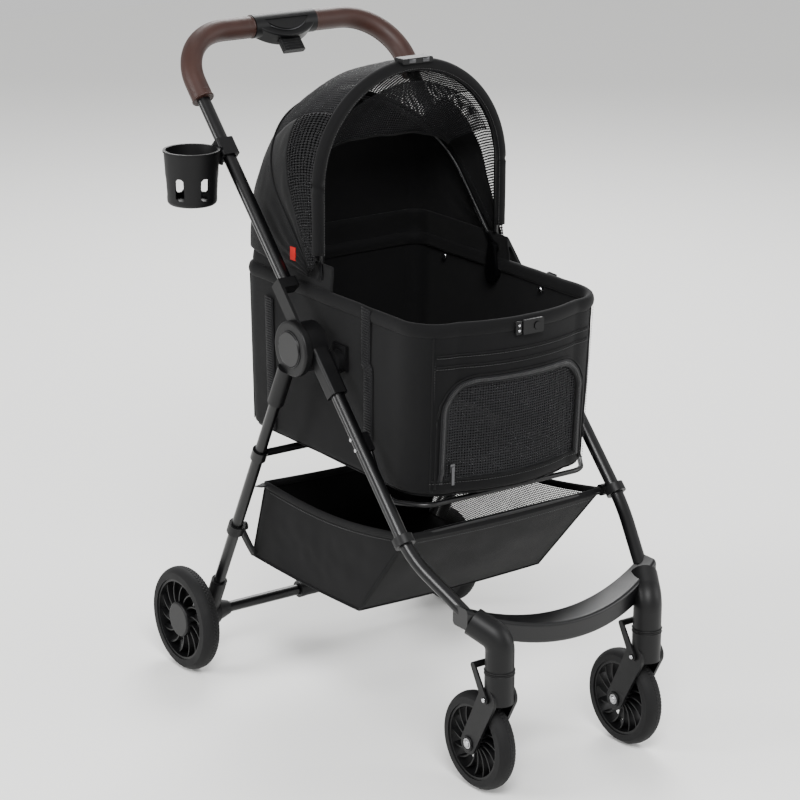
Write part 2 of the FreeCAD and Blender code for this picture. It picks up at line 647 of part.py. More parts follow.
def spoke(r_in, r_out, x0, x1, angle):
    """A thin blade that leaves the hub square and leans over towards the rim."""
    lean = radians(SPOKE_LEAN)

    def at(radius, turn, shift):
        return V(x0, radius * cos(turn) - shift * sin(turn), radius * sin(turn) + shift * cos(turn))

    middle = (r_in + r_out) / 2
    rows = [(r_in, 0.0), (middle, lean * 0.32), (r_out, lean)]
    one = [at(r, a, -SPOKE_T / 2) for r, a in rows]
    two = [at(r, a, SPOKE_T / 2) for r, a in rows]
    side_a = Part.Arc(*one).toShape()
    side_b = Part.Arc(*reversed(two)).toShape()
    end_a = Part.LineSegment(one[2], two[2]).toShape()
    end_b = Part.LineSegment(two[0], one[0]).toShape()
    blade = Part.Face(Part.Wire([side_a, end_a, side_b, end_b])).extrude(V(x1 - x0, 0, 0))
    blade.rotate(V(0, 0, 0), X_AXIS, angle)
    return blade


def rim(x, y, z, width, hub_r, ring_in, ring_out, hub_x0, hub_x1, bore, count):
    ring = cyl_x(ring_out, x - width / 2 + 2, x + width / 2 - 2, 0, 0)
    ring = ring.cut(cyl_x(ring_in, x - width / 2, x + width / 2, 0, 0))
    hub = cyl_x(hub_r, hub_x0, hub_x1, 0, 0)
    near, far = x - width / 2 + SPOKE_INSET, x + width / 2 - SPOKE_INSET
    blades = [spoke(hub_r - 2, ring_in + 1.5, near, far, 360 / count * n) for n in range(count)]
    whole = fuse(ring, hub, *blades).cut(cyl_x(bore, hub_x0 - 1, hub_x1 + 1, 0, 0))
    whole.translate(V(0, y, z))
    return whole


RIM_WALL = 4.0
REAR_RIM_R = 67.0
REAR_SPOKES = 14
FRONT_RIM_R = 58.0
FRONT_SPOKES = 16
FRONT_AXLE_R = 4.0
FRONT_AXLE_Y = CASTOR_Y + CASTOR_TRAIL
rear_tyre = tyre(REAR_WHEEL_X, REAR_AXLE_Y, REAR_WHEEL_R, REAR_WHEEL_W, REAR_RIM_R, REAR_WHEEL_R)
rear_rim = rim(REAR_WHEEL_X, REAR_AXLE_Y, REAR_WHEEL_R, REAR_WHEEL_W, 24.0, REAR_RIM_R - RIM_WALL,
               REAR_RIM_R, HOUSE_OUT + GAP, WHEEL_HUB_OUT, STUB_R + RUN_FIT, REAR_SPOKES)
wheel_cap = cyl_x(28.5, WHEEL_HUB_OUT, WHEEL_HUB_OUT + 6, REAR_AXLE_Y, REAR_WHEEL_R)
wheel_cap = wheel_cap.makeFillet(3.5, [e for e in wheel_cap.Edges if e.BoundBox.XMin > WHEEL_HUB_OUT + 5.9])
wheel_cap = wheel_cap.cut(cyl_x(STUB_R + 1, WHEEL_HUB_OUT, WHEEL_HUB_OUT + 3.6, REAR_AXLE_Y, REAR_WHEEL_R))
front_tyre = tyre(CASTOR_X, FRONT_AXLE_Y, FRONT_WHEEL_R, FRONT_WHEEL_W, FRONT_RIM_R, FRONT_WHEEL_R)
front_rim = rim(CASTOR_X, FRONT_AXLE_Y, FRONT_WHEEL_R, FRONT_WHEEL_W, 13.0, FRONT_RIM_R - RIM_WALL,
                FRONT_RIM_R, CASTOR_X - 16, CASTOR_X + 16, FRONT_AXLE_R + RUN_FIT, FRONT_SPOKES)
for name, side in SIDES:
    save("rear_tyre_" + name, on_side(rear_tyre, side))
    save("rear_rim_" + name, on_side(rear_rim, side))
    save("wheel_cap_" + name, on_side(wheel_cap, side))
    save("front_tyre_" + name, on_side(front_tyre, side))
    save("front_rim_" + name, on_side(front_rim, side))

# ---------------------------------------------------------------------- castors
FORK_IN = FRONT_WHEEL_W / 2 + 1.6
FORK_OUT = FORK_IN + 5.0
FORK_EYE_R = 17.0
FORK_TOP_R = 19.0
BOLT_HEAD_R = 8.0
BOLT_HEAD_T = 2.2
BAIL_WIRE_R = 5.0
BAIL_EYE_R = 7.0
BAIL_Z = 160.0
BAIL_Y = CASTOR_Y + 3.0
BAIL_IN = STEM_R + GAP + 0.2
BAIL_OUT = BAIL_IN + 3.0
STUD_R = 4.0
BAIL_TOP_Y = CASTOR_Y + 31.0
BAIL_TOP_Z = 205.0


def castor_fork():
    head = Part.makeCylinder(STEM_R, FORK_TOP_Z - FORK_BOTTOM_Z, V(CASTOR_X, CASTOR_Y, FORK_BOTTOM_Z))
    king = Part.makeCylinder(KINGPIN_R, KINGPIN_TOP_Z - FORK_TOP_Z + 1, V(CASTOR_X, CASTOR_Y, FORK_TOP_Z - 1))
    pieces = [head, king]
    for turn in (-1, 1):
        x0, x1 = CASTOR_X + turn * FORK_IN, CASTOR_X + turn * FORK_OUT
        arm = slab(min(x0, x1), max(x0, x1), (CASTOR_Y + 3, FORK_BOTTOM_Z + 6), FORK_TOP_R,
                   (FRONT_AXLE_Y, FRONT_WHEEL_R), FORK_EYE_R)
        stud_end = CASTOR_X + turn * (BAIL_OUT + 1)
        stud = cyl_x(STUD_R, CASTOR_X + turn * (FORK_OUT - 2), stud_end, BAIL_Y, BAIL_Z)
        pieces += [arm, stud]
    whole = fuse(*pieces)
    bore = cyl_x(FRONT_AXLE_R, CASTOR_X - 40, CASTOR_X + 40, FRONT_AXLE_Y, FRONT_WHEEL_R)
    room = cyl_x(FRONT_WHEEL_R + 3, CASTOR_X - FORK_IN, CASTOR_X + FORK_IN, FRONT_AXLE_Y, FRONT_WHEEL_R)
    return whole.cut(bore).cut(room)


def castor_bolt():
    shank = cyl_x(FRONT_AXLE_R, CASTOR_X - FORK_OUT, CASTOR_X + FORK_OUT, FRONT_AXLE_Y, FRONT_WHEEL_R)
    heads = [cyl_x(BOLT_HEAD_R, CASTOR_X + turn * FORK_OUT, CASTOR_X + turn * (FORK_OUT + BOLT_HEAD_T),
                   FRONT_AXLE_Y, FRONT_WHEEL_R) for turn in (-1, 1)]
    return fuse(shank, *heads)


def castor_lock():
    """Bail pivoted on the fork's studs, looped up behind the stem."""
    arms = []
    for turn in (-1, 1):
        x0, x1 = CASTOR_X + turn * BAIL_IN, CASTOR_X + turn * BAIL_OUT
        arm = slab(min(x0, x1), max(x0, x1), (BAIL_Y, BAIL_Z), BAIL_EYE_R,
                   (BAIL_TOP_Y, BAIL_TOP_Z), BAIL_WIRE_R)
        arms.append(arm)
    bridge = cyl_x(BAIL_WIRE_R, CASTOR_X - BAIL_OUT, CASTOR_X + BAIL_OUT, BAIL_TOP_Y, BAIL_TOP_Z)
    whole = fuse(bridge, *arms)
    return whole.cut(cyl_x(STUD_R + RUN_FIT, CASTOR_X - 40, CASTOR_X + 40, BAIL_Y, BAIL_Z))


for part_name, part_solid in (("fork", castor_fork()), ("bolt", castor_bolt()), ("lock", castor_lock())):
    for name, side in SIDES:
        save("castor_" + part_name + "_" + name, on_side(part_solid, side))

# ---------------------------------------------------------------------- carrier
CORNER_FRONT = 62.0
CORNER_REAR = 34.0
CROWN = 22.0               # how far the front panel bows out in its middle
BOTTOM_INSET = 12.0        # the front panel leans in towards its foot


def carrier_outline(half, front, rear, shrink, z):
    """Rounded plan outline; shrink moves it in by a wall."""
    h, f, r = half - shrink, front + shrink, rear - shrink
    cf, cr = CORNER_FRONT - shrink, CORNER_REAR - shrink
    side_y = f + CROWN + cf
    k = 1 - sqrt(0.5)
    left = Part.LineSegment(V(-h, r - cr, z), V(-h, side_y, z))
    left_corner = Part.Arc(V(-h, side_y, z), V(-h + cf * k, side_y - cf * (1 - k), z),
                           V(-h + cf, f + CROWN, z))
    front_arc = Part.Arc(V(-h + cf, f + CROWN, z), V(0, f, z), V(h - cf, f + CROWN, z))
    right_corner = Part.Arc(V(h - cf, f + CROWN, z), V(h - cf * k, side_y - cf * (1 - k), z), V(h, side_y, z))
    right = Part.LineSegment(V(h, side_y, z), V(h, r - cr, z))
    rear_right = Part.Arc(V(h, r - cr, z), V(h - cr * k, r - cr * k, z), V(h - cr, r, z))
    back = Part.LineSegment(V(h - cr, r, z), V(-h + cr, r, z))
    rear_left = Part.Arc(V(-h + cr, r, z), V(-h + cr * k, r - cr * k, z), V(-h, r - cr, z))
    parts = (left, left_corner, front_arc, right_corner, right, rear_right, back, rear_left)
    return Part.Wire([p.toShape() for p in parts])


def carrier_block(shrink, bottom, top):
    """The carrier's body between two heights, shrunk by a wall."""
    def half_at(z):
        share = (z - CARRIER_BOTTOM_Z) / (CARRIER_RIM_Z - CARRIER_BOTTOM_Z)
        return (CARRIER_BOTTOM_HALF + share * (CARRIER_HALF - CARRIER_BOTTOM_HALF),
                CARRIER_FRONT_Y + (1 - share) * BOTTOM_INSET)

    low_half, low_front = half_at(bottom)
    high_half, high_front = half_at(top)
    low = carrier_outline(low_half, low_front, CARRIER_REAR_Y, shrink, bottom)
    high = carrier_outline(high_half, high_front, CARRIER_REAR_Y, shrink, top)
    return Part.makeLoft([low, high], True, True)


MAT_T = 18.0
floor_z = CARRIER_BOTTOM_Z + CARRIER_WALL
shell = carrier_block(0, CARRIER_BOTTOM_Z, CARRIER_RIM_Z)
shell = shell.cut(carrier_block(CARRIER_WALL, floor_z, CARRIER_RIM_Z + 1))
save("carrier_shell", shell)
save("carrier_mat", carrier_block(CARRIER_WALL + 2, floor_z + 0.3, floor_z + 0.3 + MAT_T))

# hooks that hang the carrier on the hub bosses
CLIP_W = 34.0


def carrier_clip():
    plate = box(CARRIER_BOTTOM_HALF, CLIP_OUT, HOOK.y - CLIP_W / 2, HOOK.y + CLIP_W / 2,
                HOOK.z - 14, HOOK.z + 26)
    slot = box(150, CLIP_OUT + 1, HOOK.y - HOOK_R - GAP, HOOK.y + HOOK_R + GAP, HOOK.z - 15, HOOK.z)
    seat = cyl_x(HOOK_R + GAP, 150, CLIP_OUT + 1, HOOK.y, HOOK.z)
    return plate.cut(carrier_block(0, CARRIER_BOTTOM_Z, CARRIER_RIM_Z)).cut(slot).cut(seat)


clip = max(carrier_clip().Solids, key=lambda s: s.Volume)
save("carrier_clips", mirrored(clip), clip)

# two-part latch in the middle of the front rim
LATCH_Z = 668.0
LATCH_T = 7.0
latch_y = CARRIER_FRONT_Y + BOTTOM_INSET * (CARRIER_RIM_Z - LATCH_Z) / (CARRIER_RIM_Z - CARRIER_BOTTOM_Z)
latch = box(-14, 24, latch_y - LATCH_T, latch_y + 6, LATCH_Z - 11, LATCH_Z + 11)
latch = latch.makeFillet(3.0, [e for e in latch.Edges if abs(e.tangentAt(0).y) > 0.9])
button_hole = Part.makeCylinder(6.0 + GAP, LATCH_T + 7, V(12, latch_y - LATCH_T - 1, LATCH_Z), Y_AXIS)
latch = latch.cut(carrier_block(0, CARRIER_BOTTOM_Z, CARRIER_RIM_Z)).cut(button_hole)
save("carrier_latch", max(latch.Solids, key=lambda s: s.Volume))
button = Part.makeCylinder(6.0, 4.5, V(12, latch_y - LATCH_T - 1.5, LATCH_Z), Y_AXIS)
save("latch_button", button)

# slider of the window's zip, at the foot of its left run
ZIP_X = -114.0
ZIP_Z = 462.0
ZIP_HALF_W = 4.0
ZIP_T = 3.0
zip_share = (CARRIER_RIM_Z - ZIP_Z) / (CARRIER_RIM_Z - CARRIER_BOTTOM_Z)
zip_face = CARRIER_FRONT_Y + BOTTOM_INSET * zip_share + CROWN - 2 * GAP
slider = box(ZIP_X - ZIP_HALF_W, ZIP_X + ZIP_HALF_W, zip_face - ZIP_T, zip_face, ZIP_Z - 6, ZIP_Z + 6)
pull = box(ZIP_X - 2.5, ZIP_X + 2.5, zip_face - ZIP_T - 1.5, zip_face - ZIP_T, ZIP_Z - 26, ZIP_Z + 2)
save("zip_slider", fuse(slider, pull))

# ------------------------------------------------------------------------- hood
# The bow is a half circle on two straight legs. Each cover is the shape it sweeps
# about the pivots, and the three covers nest with a gap between them.
BOW_R = 4.0
COVER_T = 2.0
COVER_STEP = COVER_T + 1.2
BRACKET_TOP = 44.0
PIVOT_R = 4.0
FRONT_ANGLE = 90.0          # bow angles, up from straight back
MID_ANGLE = 48.0
COVER_FOOT = 14.0           # covers start this far above the pivots
hood_pivot = V(0, HOOD_PIVOT_Y, HOOD_PIVOT_Z)


def arch_wire(shrink, foot):
    """Bow outline above the pivot line, in the plane y = 0 about the pivots."""
    half = HOOD_HALF - shrink
    legs = HOOD_LEG
    a, b = V(-half, 0, foot), V(-half, 0, legs)
    c, d = V(half, 0, legs), V(half, 0, foot)
    left = Part.LineSegment(a, b).toShape()
    top = Part.Arc(b, V(0, 0, legs + half), c).toShape()
    right = Part.LineSegment(c, d).toShape()
    return [left, top, right], (d, a)


def arch_face(shrink, foot):
    edges, (d, a) = arch_wire(shrink, foot)
    return Part.Face(Part.Wire(edges + [Part.LineSegment(d, a).toShape()]))


def about_pivot(shape, start):
    """Turn a shape drawn upright so that it starts at this bow angle."""
    shape.rotate(V(0, 0, 0), X_AXIS, start - 90)
    shape.translate(hood_pivot)
    return shape


def swept_arch(shrink, start, span, foot):
    solid = arch_face(shrink, foot).revolve(V(0, 0, 0), X_AXIS, span)
    return about_pivot(solid, start)


def cover(shrink, start, span):
    outer = swept_arch(shrink, start, span, COVER_FOOT)
    inner = swept_arch(shrink + COVER_T, start - 1, span + 2, COVER_FOOT - 1)
    return outer.cut(inner)


REAR_SHRINK = 3 * COVER_STEP - COVER_T      # the fixed rear cover is innermost
MID_SHRINK = 2 * COVER_STEP - COVER_T
FRONT_SHRINK = COVER_STEP - COVER_T
REAR_SPAN = 80.0
MID_SPAN = 40.0
FRONT_SPAN = 43.0
COVER_LAG = 0.6                             # degrees between a bow and its cover's edge
HOOD_REAR_Y = CARRIER_REAR_Y - 2.0
HOOD_FOOT_Z = CARRIER_RIM_Z + 1.0


def dome(shrink, back, span, foot):
    """The hood's inside, from its rear panel up to this angle, and the skirt below."""
    inside = box(-HOOD_HALF, HOOD_HALF, HOOD_PIVOT_Y, back, HOOD_FOOT_Z - 5, HOOD_PIVOT_Z + 400)
    upper = swept_arch(shrink, 0, span, COVER_FOOT)
    skirt = about_pivot(arch_face(shrink, COVER_FOOT), 0).extrude(V(0, 0, foot - HOOD_PIVOT_Z))
    return upper.fuse(skirt).common(inside)


def rear_cover():
    outer = dome(REAR_SHRINK, HOOD_REAR_Y, REAR_SPAN, HOOD_FOOT_Z)
    inner = dome(REAR_SHRINK + COVER_T, HOOD_REAR_Y - COVER_T, REAR_SPAN + 2, HOOD_FOOT_Z - 3)
    return outer.cut(inner).removeSplitter()


save("hood_rear_cover", rear_cover())
save("hood_mid_cover", cover(MID_SHRINK, MID_ANGLE + COVER_LAG, MID_SPAN))
front_cover = cover(FRONT_SHRINK, FRONT_ANGLE - COVER_LAG - FRONT_SPAN, FRONT_SPAN)
save("hood_front_cover", front_cover)

BOW_SHRINK = REAR_SHRINK + COVER_T + GAP    # outside of both bows
LINK_T = 3.2
LINK_R = 7.0
BOW_FOOT = 26.0
LINK_GAP = 0.4
front_link_out = HOOD_HALF - BOW_SHRINK - 0.6
mid_link_out = front_link_out - LINK_T - LINK_GAP
bracket_out = mid_link_out - LINK_T - LINK_GAP
BRACKET_T = 5.0


def bow(angle, link_out):
    """A rod bent to the arch; each end is flattened to an eye on its pivot."""
    edges, _ = arch_wire(BOW_SHRINK + BOW_R, BOW_FOOT)
    start = edges[0].Vertexes[0].Point
    circle = Part.Wire([Part.makeCircle(BOW_R, start, Z_AXIS)])
    rod_part = Part.Wire(edges).makePipeShell([circle], True, False)
    links = []
    for side in (-1, 1):
        link = slab(link_out - LINK_T, link_out, (0, 0), LINK_R, (0, BOW_FOOT + 6), BOW_R - 1)
        link = link.cut(cyl_x(PIVOT_R + RUN_FIT, link_out - LINK_T - 1, link_out + 1, 0, 0))
        links.append(on_side(link, side))
    return about_pivot(fuse(rod_part, *links), angle)


mid_bow = bow(MID_ANGLE, mid_link_out)
front_bow = bow(FRONT_ANGLE, front_link_out)
save("hood_mid_bow", mid_bow)
save("hood_front_bow", front_bow)


def hood_bracket():
    """Plate on the inside of the rim, with the pin that both bows turn on."""
    plate = slab(bracket_out - BRACKET_T, bracket_out, (HOOD_PIVOT_Y, HOOD_PIVOT_Z), 9.0,
                 (HOOD_PIVOT_Y, HOOD_PIVOT_Z - 40), 14.0)
    spacer = cyl_x(12.0, bracket_out - 1, CARRIER_HALF, HOOD_PIVOT_Y, HOOD_PIVOT_Z - 40)
    inside = carrier_block(CARRIER_WALL, CARRIER_BOTTOM_Z, CARRIER_RIM_Z)
    pin = cyl_x(PIVOT_R, bracket_out - 1, front_link_out + 0.5, HOOD_PIVOT_Y, HOOD_PIVOT_Z)
    return fuse(plate, spacer.common(inside), pin)


hood_bracket_solid = hood_bracket()
save("hood_brackets", mirrored(hood_bracket_solid), hood_bracket_solid)

# catch on the front cover's edge, at the top of the front bow
CATCH_HALF = 28.0
CATCH_TOP = HOOD_PIVOT_Z + HOOD_LEG + HOOD_HALF + 5.0
CATCH_LOW = CATCH_TOP - 8.4
hood_latch = box(-CATCH_HALF, CATCH_HALF, HOOD_PIVOT_Y - 16, HOOD_PIVOT_Y + 5, CATCH_LOW, CATCH_TOP)
hood_latch = hood_latch.makeFillet(3.0, [e for e in hood_latch.Edges if abs(e.tangentAt(0).y) > 0.9])
hood_latch = hood_latch.cut(front_cover)
save("hood_latch", max(hood_latch.Solids, key=lambda s: s.Volume))
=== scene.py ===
# %% [markdown]
# # A folding pet stroller
# The tubes, joints, wheels and mouldings come from the CAD model and stay where they are.
# This file gives them their finishes and adds what is sewn or too fine for CAD:
# the carrier, its arched hood, the basket, the mat, the zip, the stitches and the treads.
# Lengths in the helpers are millimetres, because a pattern maker thinks in them.

# %% Load the frame
import json
from itertools import accumulate
from math import atan2, cos, dist, hypot, pi, radians, sin, sqrt

import bmesh
import bpy
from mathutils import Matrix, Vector, noise


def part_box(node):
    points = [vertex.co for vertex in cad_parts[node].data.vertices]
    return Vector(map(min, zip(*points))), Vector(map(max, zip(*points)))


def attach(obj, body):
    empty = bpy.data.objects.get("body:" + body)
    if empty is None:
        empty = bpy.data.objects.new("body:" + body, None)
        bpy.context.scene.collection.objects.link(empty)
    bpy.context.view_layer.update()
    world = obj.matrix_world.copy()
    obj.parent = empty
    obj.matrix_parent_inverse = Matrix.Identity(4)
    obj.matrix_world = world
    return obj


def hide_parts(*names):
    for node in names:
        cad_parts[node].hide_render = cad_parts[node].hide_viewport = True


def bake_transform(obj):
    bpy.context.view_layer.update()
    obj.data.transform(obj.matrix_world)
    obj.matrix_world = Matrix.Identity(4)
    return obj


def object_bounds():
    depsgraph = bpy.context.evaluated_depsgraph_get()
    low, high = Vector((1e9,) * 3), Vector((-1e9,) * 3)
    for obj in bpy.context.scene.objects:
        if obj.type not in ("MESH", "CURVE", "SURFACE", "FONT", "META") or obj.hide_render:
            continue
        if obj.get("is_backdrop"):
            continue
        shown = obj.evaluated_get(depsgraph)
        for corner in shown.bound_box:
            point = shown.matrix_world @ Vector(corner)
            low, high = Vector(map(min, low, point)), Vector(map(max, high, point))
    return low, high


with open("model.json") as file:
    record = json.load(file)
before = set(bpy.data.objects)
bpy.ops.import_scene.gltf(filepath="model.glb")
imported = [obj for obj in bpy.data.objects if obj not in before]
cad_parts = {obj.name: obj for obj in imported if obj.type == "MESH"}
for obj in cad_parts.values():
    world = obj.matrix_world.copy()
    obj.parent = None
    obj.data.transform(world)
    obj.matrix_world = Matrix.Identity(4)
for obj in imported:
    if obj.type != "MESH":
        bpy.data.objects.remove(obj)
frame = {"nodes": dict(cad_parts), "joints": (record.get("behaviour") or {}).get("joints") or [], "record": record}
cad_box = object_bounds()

MM = 0.001
nodes = frame["nodes"]

# %% [markdown]
# ## Reading sizes off the frame
# Every sewn piece is fitted to the metal and plastic around it, as at the factory. So its
# sizes come from the boxes of the CAD nodes, and only what cloth adds has a number here.

# %% Sizes of the carrier, hood and basket, in millimetres
def span(node):
    low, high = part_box(node)
    return low / MM, high / MM


joints = {j["name"]: j for j in frame["joints"]}
carrier_low, carrier_high = span("carrier_shell")
cover_high = span("hood_front_cover")[1]
PIVOT_Y, PIVOT_Z = [v / MM for v in joints["hood_front_turn"]["pos_m"][1:]]
HOOD_HALF = cover_high.x
HOOD_TOP_R = cover_high.z - PIVOT_Z
HOOD_LEG = HOOD_TOP_R - HOOD_HALF
MID_BOW_ANGLE = 48.0
print("carrier", [round(v) for v in carrier_low], [round(v) for v in carrier_high])
print("hood: half width", round(HOOD_HALF), "height above the pivots", round(HOOD_TOP_R))

# %% [markdown]
# ## Small tools
# A surface is drawn as a grid of points from a formula. Its UV map is the distance along
# the cloth in metres, so a weave keeps its real size however the sheet bends.

# %% Meshes, grids and tubes
def link(obj):
    bpy.context.scene.collection.objects.link(obj)
    return obj


def smooth(obj):
    obj.data.shade_smooth()
    return obj


def mesh_object(name, points, faces):
    mesh = bpy.data.meshes.new(name)
    mesh.from_pydata([Vector(p) * MM for p in points], [], faces)
    return smooth(link(bpy.data.objects.new(name, mesh)))


def metres_along(line):
    """How far each point of a line lies from its first one, in metres."""
    return list(accumulate(((b - a).length * MM for a, b in zip(line, line[1:])), initial=0.0))


def grid(name, point, across, along, closed=False):
    """A sheet from point(u, v), u and v from 0 to 1. closed joins its first and last columns."""
    rows = [[Vector(point(i / across, j / along)) for i in range(across + 1)] for j in range(along + 1)]
    columns = across if closed else across + 1
    points = [row[i] for row in rows for i in range(columns)]
    faces = [(j * columns + i, j * columns + (i + 1) % columns,
              (j + 1) * columns + (i + 1) % columns, (j + 1) * columns + i)
             for j in range(along) for i in range(across)]
    obj = mesh_object(name, points, faces)
    u_at, v_at = metres_along(rows[along // 2]), metres_along([row[across // 3] for row in rows])
    layer = obj.data.uv_layers.new(name="UVMap")
    for face in obj.data.polygons:
        j, i = divmod(face.index, across)
        for loop, (di, dj) in zip(face.loop_indices, ((0, 0), (1, 0), (1, 1), (0, 1))):
            layer.data[loop].uv = (u_at[i + di], v_at[j + dj])
    return obj


def settle(obj):
    """Turn the modifiers of a piece into plain mesh."""
    graph = bpy.context.evaluated_depsgraph_get()
    mesh = bpy.data.meshes.new_from_object(obj.evaluated_get(graph), depsgraph=graph)
    if obj.type == "MESH":
        obj.modifiers.clear()
        obj.data = mesh
        return obj
    name = obj.name
    bpy.data.objects.remove(obj)
    return smooth(link(bpy.data.objects.new(name, mesh)))


def thicken(obj, thickness, levels=0, offset=-1.0):
    solid = obj.modifiers.new("thickness", "SOLIDIFY")
    solid.thickness = thickness * MM
    solid.offset = offset
    if levels:
        soft = obj.modifiers.new("soft", "SUBSURF")
        soft.levels = soft.render_levels = levels
    return settle(obj)


def face_out(obj, centre=None):
    """Make the faces of a sheet look away from a point, or a closed piece look outwards."""
    work = bmesh.new()
    work.from_mesh(obj.data)
    if centre is None:
        bmesh.ops.remove_doubles(work, verts=work.verts, dist=1e-6)
        bmesh.ops.recalc_face_normals(work, faces=work.faces)
    else:
        away = sum((f.calc_center_median() - Vector(centre) * MM).dot(f.normal) * f.calc_area()
                   for f in work.faces)
        if away < 0:
            bmesh.ops.reverse_faces(work, faces=work.faces)
    work.to_mesh(obj.data)
    work.free()
    return obj


def ring_faces(count, sides, closed=False):
    """Faces of a skin over count rings of points; unless closed, both ends get a cap."""
    loops = count if closed else count - 1
    faces = [(i * sides + k, i * sides + (k + 1) % sides, (i + 1) % count * sides + (k + 1) % sides,
              (i + 1) % count * sides + k) for i in range(loops) for k in range(sides)]
    if not closed:
        faces += [tuple(range(sides))[::-1], tuple(range((count - 1) * sides, count * sides))]
    return faces


def tube(name, points, radius, closed=False, flat=1.0, sides=10):
    """A round or flattened tube along points; flat shrinks it square to its own width."""
    path = [Vector(p) for p in points]
    count = len(path)
    rings = []
    up = Vector((0, 0, 1))
    for i, here in enumerate(path):
        before = path[(i - 1) % count] if closed or i else here
        after = path[(i + 1) % count] if closed or i < count - 1 else here
        along = (after - before).normalized()
        wide = along.cross(up)
        wide = wide.normalized() if wide.length > 0.05 else Vector((1, 0, 0))
        high = wide.cross(along).normalized()
        rings.append([here + wide * (radius * flat * cos(a)) + high * (radius * sin(a))
                      for a in [2 * pi * k / sides for k in range(sides)]])
    verts = [p for ring in rings for p in ring]
    return face_out(mesh_object(name, verts, ring_faces(count, sides, closed)))


def rounded_box(name, low, high, bevel, segments=3):
    xs, ys, zs = zip(low, high)
    points = [(x, y, z) for x in xs for y in ys for z in zs]
    faces = [(0, 1, 3, 2), (4, 6, 7, 5), (0, 4, 5, 1), (2, 3, 7, 6), (0, 2, 6, 4), (1, 5, 7, 3)]
    obj = face_out(mesh_object(name, points, faces))
    edge = obj.modifiers.new("edge", "BEVEL")
    edge.width = bevel * MM
    edge.segments = segments
    return settle(obj)


def join(name, pieces):
    """One mesh from several, keeping their UV maps."""
    work = bmesh.new()
    for piece in pieces:
        work.from_mesh(piece.data)
    mesh = bpy.data.meshes.new(name)
    work.to_mesh(mesh)
    work.free()
    for piece in pieces:
        bpy.data.objects.remove(piece)
    return smooth(link(bpy.data.objects.new(name, mesh)))


def finish(obj, material, body=None):
    obj.data.materials.clear()
    obj.data.materials.append(material)
    if body:
        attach(obj, body)
    return obj


def sew(sheet, away_from, thickness, material, body, instead_of=None):
    """Give a sheet its outside, thickness and finish, and say how it is held."""
    face_out(sheet, away_from)
    thicken(sheet, thickness)
    finish(sheet, material, body)
    if instead_of:
        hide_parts(instead_of)
    return sheet


def lerp(a, b, share):
    return a + (b - a) * share


def ripple(point, size, seed=0.0):
    """Soft unevenness of cloth: a value between about -1 and 1."""
    return noise.noise(Vector(point) / size + Vector((seed, 0, 0)))


print("tools ready")

# %% [markdown]
# ## Repeats along a seam
# Stitches, zip teeth, webbing ribs and tread blocks are one small shape repeated along a
# path. A Geometry Nodes tree spaces it out, turns it to the path, and realizes the copies.

# %% One tree for everything that repeats along a path
def path_tree():
    tree = bpy.data.node_groups.new("repeat_along_path", "GeometryNodeTree")
    face = tree.interface
    face.new_socket("Geometry", in_out="INPUT", socket_type="NodeSocketGeometry")
    face.new_socket("Item", in_out="INPUT", socket_type="NodeSocketObject")
    face.new_socket("Step", in_out="INPUT", socket_type="NodeSocketFloat")
    face.new_socket("Outward", in_out="INPUT", socket_type="NodeSocketVector")
    face.new_socket("Finish", in_out="INPUT", socket_type="NodeSocketMaterial")
    face.new_socket("Geometry", in_out="OUTPUT", socket_type="NodeSocketGeometry")
    add = tree.nodes.new
    inputs, output = add("NodeGroupInput"), add("NodeGroupOutput")
    curve = add("GeometryNodeMeshToCurve")
    sample = add("GeometryNodeResampleCurve")
    sample.mode = "LENGTH"
    tangent = add("GeometryNodeInputTangent")
    along = add("FunctionNodeAlignRotationToVector")
    along.axis = "X"
    outward = add("FunctionNodeAlignRotationToVector")
    outward.axis = "Z"
    outward.pivot_axis = "X"
    item = add("GeometryNodeObjectInfo")
    copies = add("GeometryNodeInstanceOnPoints")
    real = add("GeometryNodeRealizeInstances")
    paint = add("GeometryNodeSetMaterial")
    wires = ((inputs, "Geometry", curve, "Mesh"), (curve, "Curve", sample, "Curve"),
             (inputs, "Step", sample, "Length"), (tangent, "Tangent", along, "Vector"),
             (along, "Rotation", outward, "Rotation"), (inputs, "Outward", outward, "Vector"),
             (sample, "Curve", copies, "Points"), (inputs, "Item", item, "Object"),
             (item, "Geometry", copies, "Instance"), (outward, "Rotation", copies, "Rotation"),
             (copies, "Instances", real, "Geometry"), (real, "Geometry", paint, "Geometry"),
             (inputs, "Finish", paint, "Material"), (paint, "Geometry", output, "Geometry"))
    for source, out, target, socket in wires:
        tree.links.new(source.outputs[out], target.inputs[socket])
    return tree


PATH_TREE = path_tree()


def repeat_along(name, paths, item, step, outward, material):
    """Copies of item, step mm apart, along each path; its Z looks towards outward."""
    points, edges = [], []
    for path in paths:
        first = len(points)
        points += [Vector(p) * MM for p in path]
        edges += [(i, i + 1) for i in range(first, len(points) - 1)]
    mesh = bpy.data.meshes.new(name)
    mesh.from_pydata(points, edges, [])
    obj = link(bpy.data.objects.new(name, mesh))
    modifier = obj.modifiers.new("repeat", "NODES")
    modifier.node_group = PATH_TREE
    values = {"Item": item, "Step": step * MM, "Outward": outward, "Finish": material}
    for socket in PATH_TREE.interface.items_tree:
        if socket.in_out == "INPUT" and socket.name in values:
            modifier[socket.identifier] = values[socket.name]
    return smooth(settle(obj))


def sew_row(name, paths, item, step, outward, material, body):
    return finish(repeat_along(name, paths, item, step, outward, material), material, body)


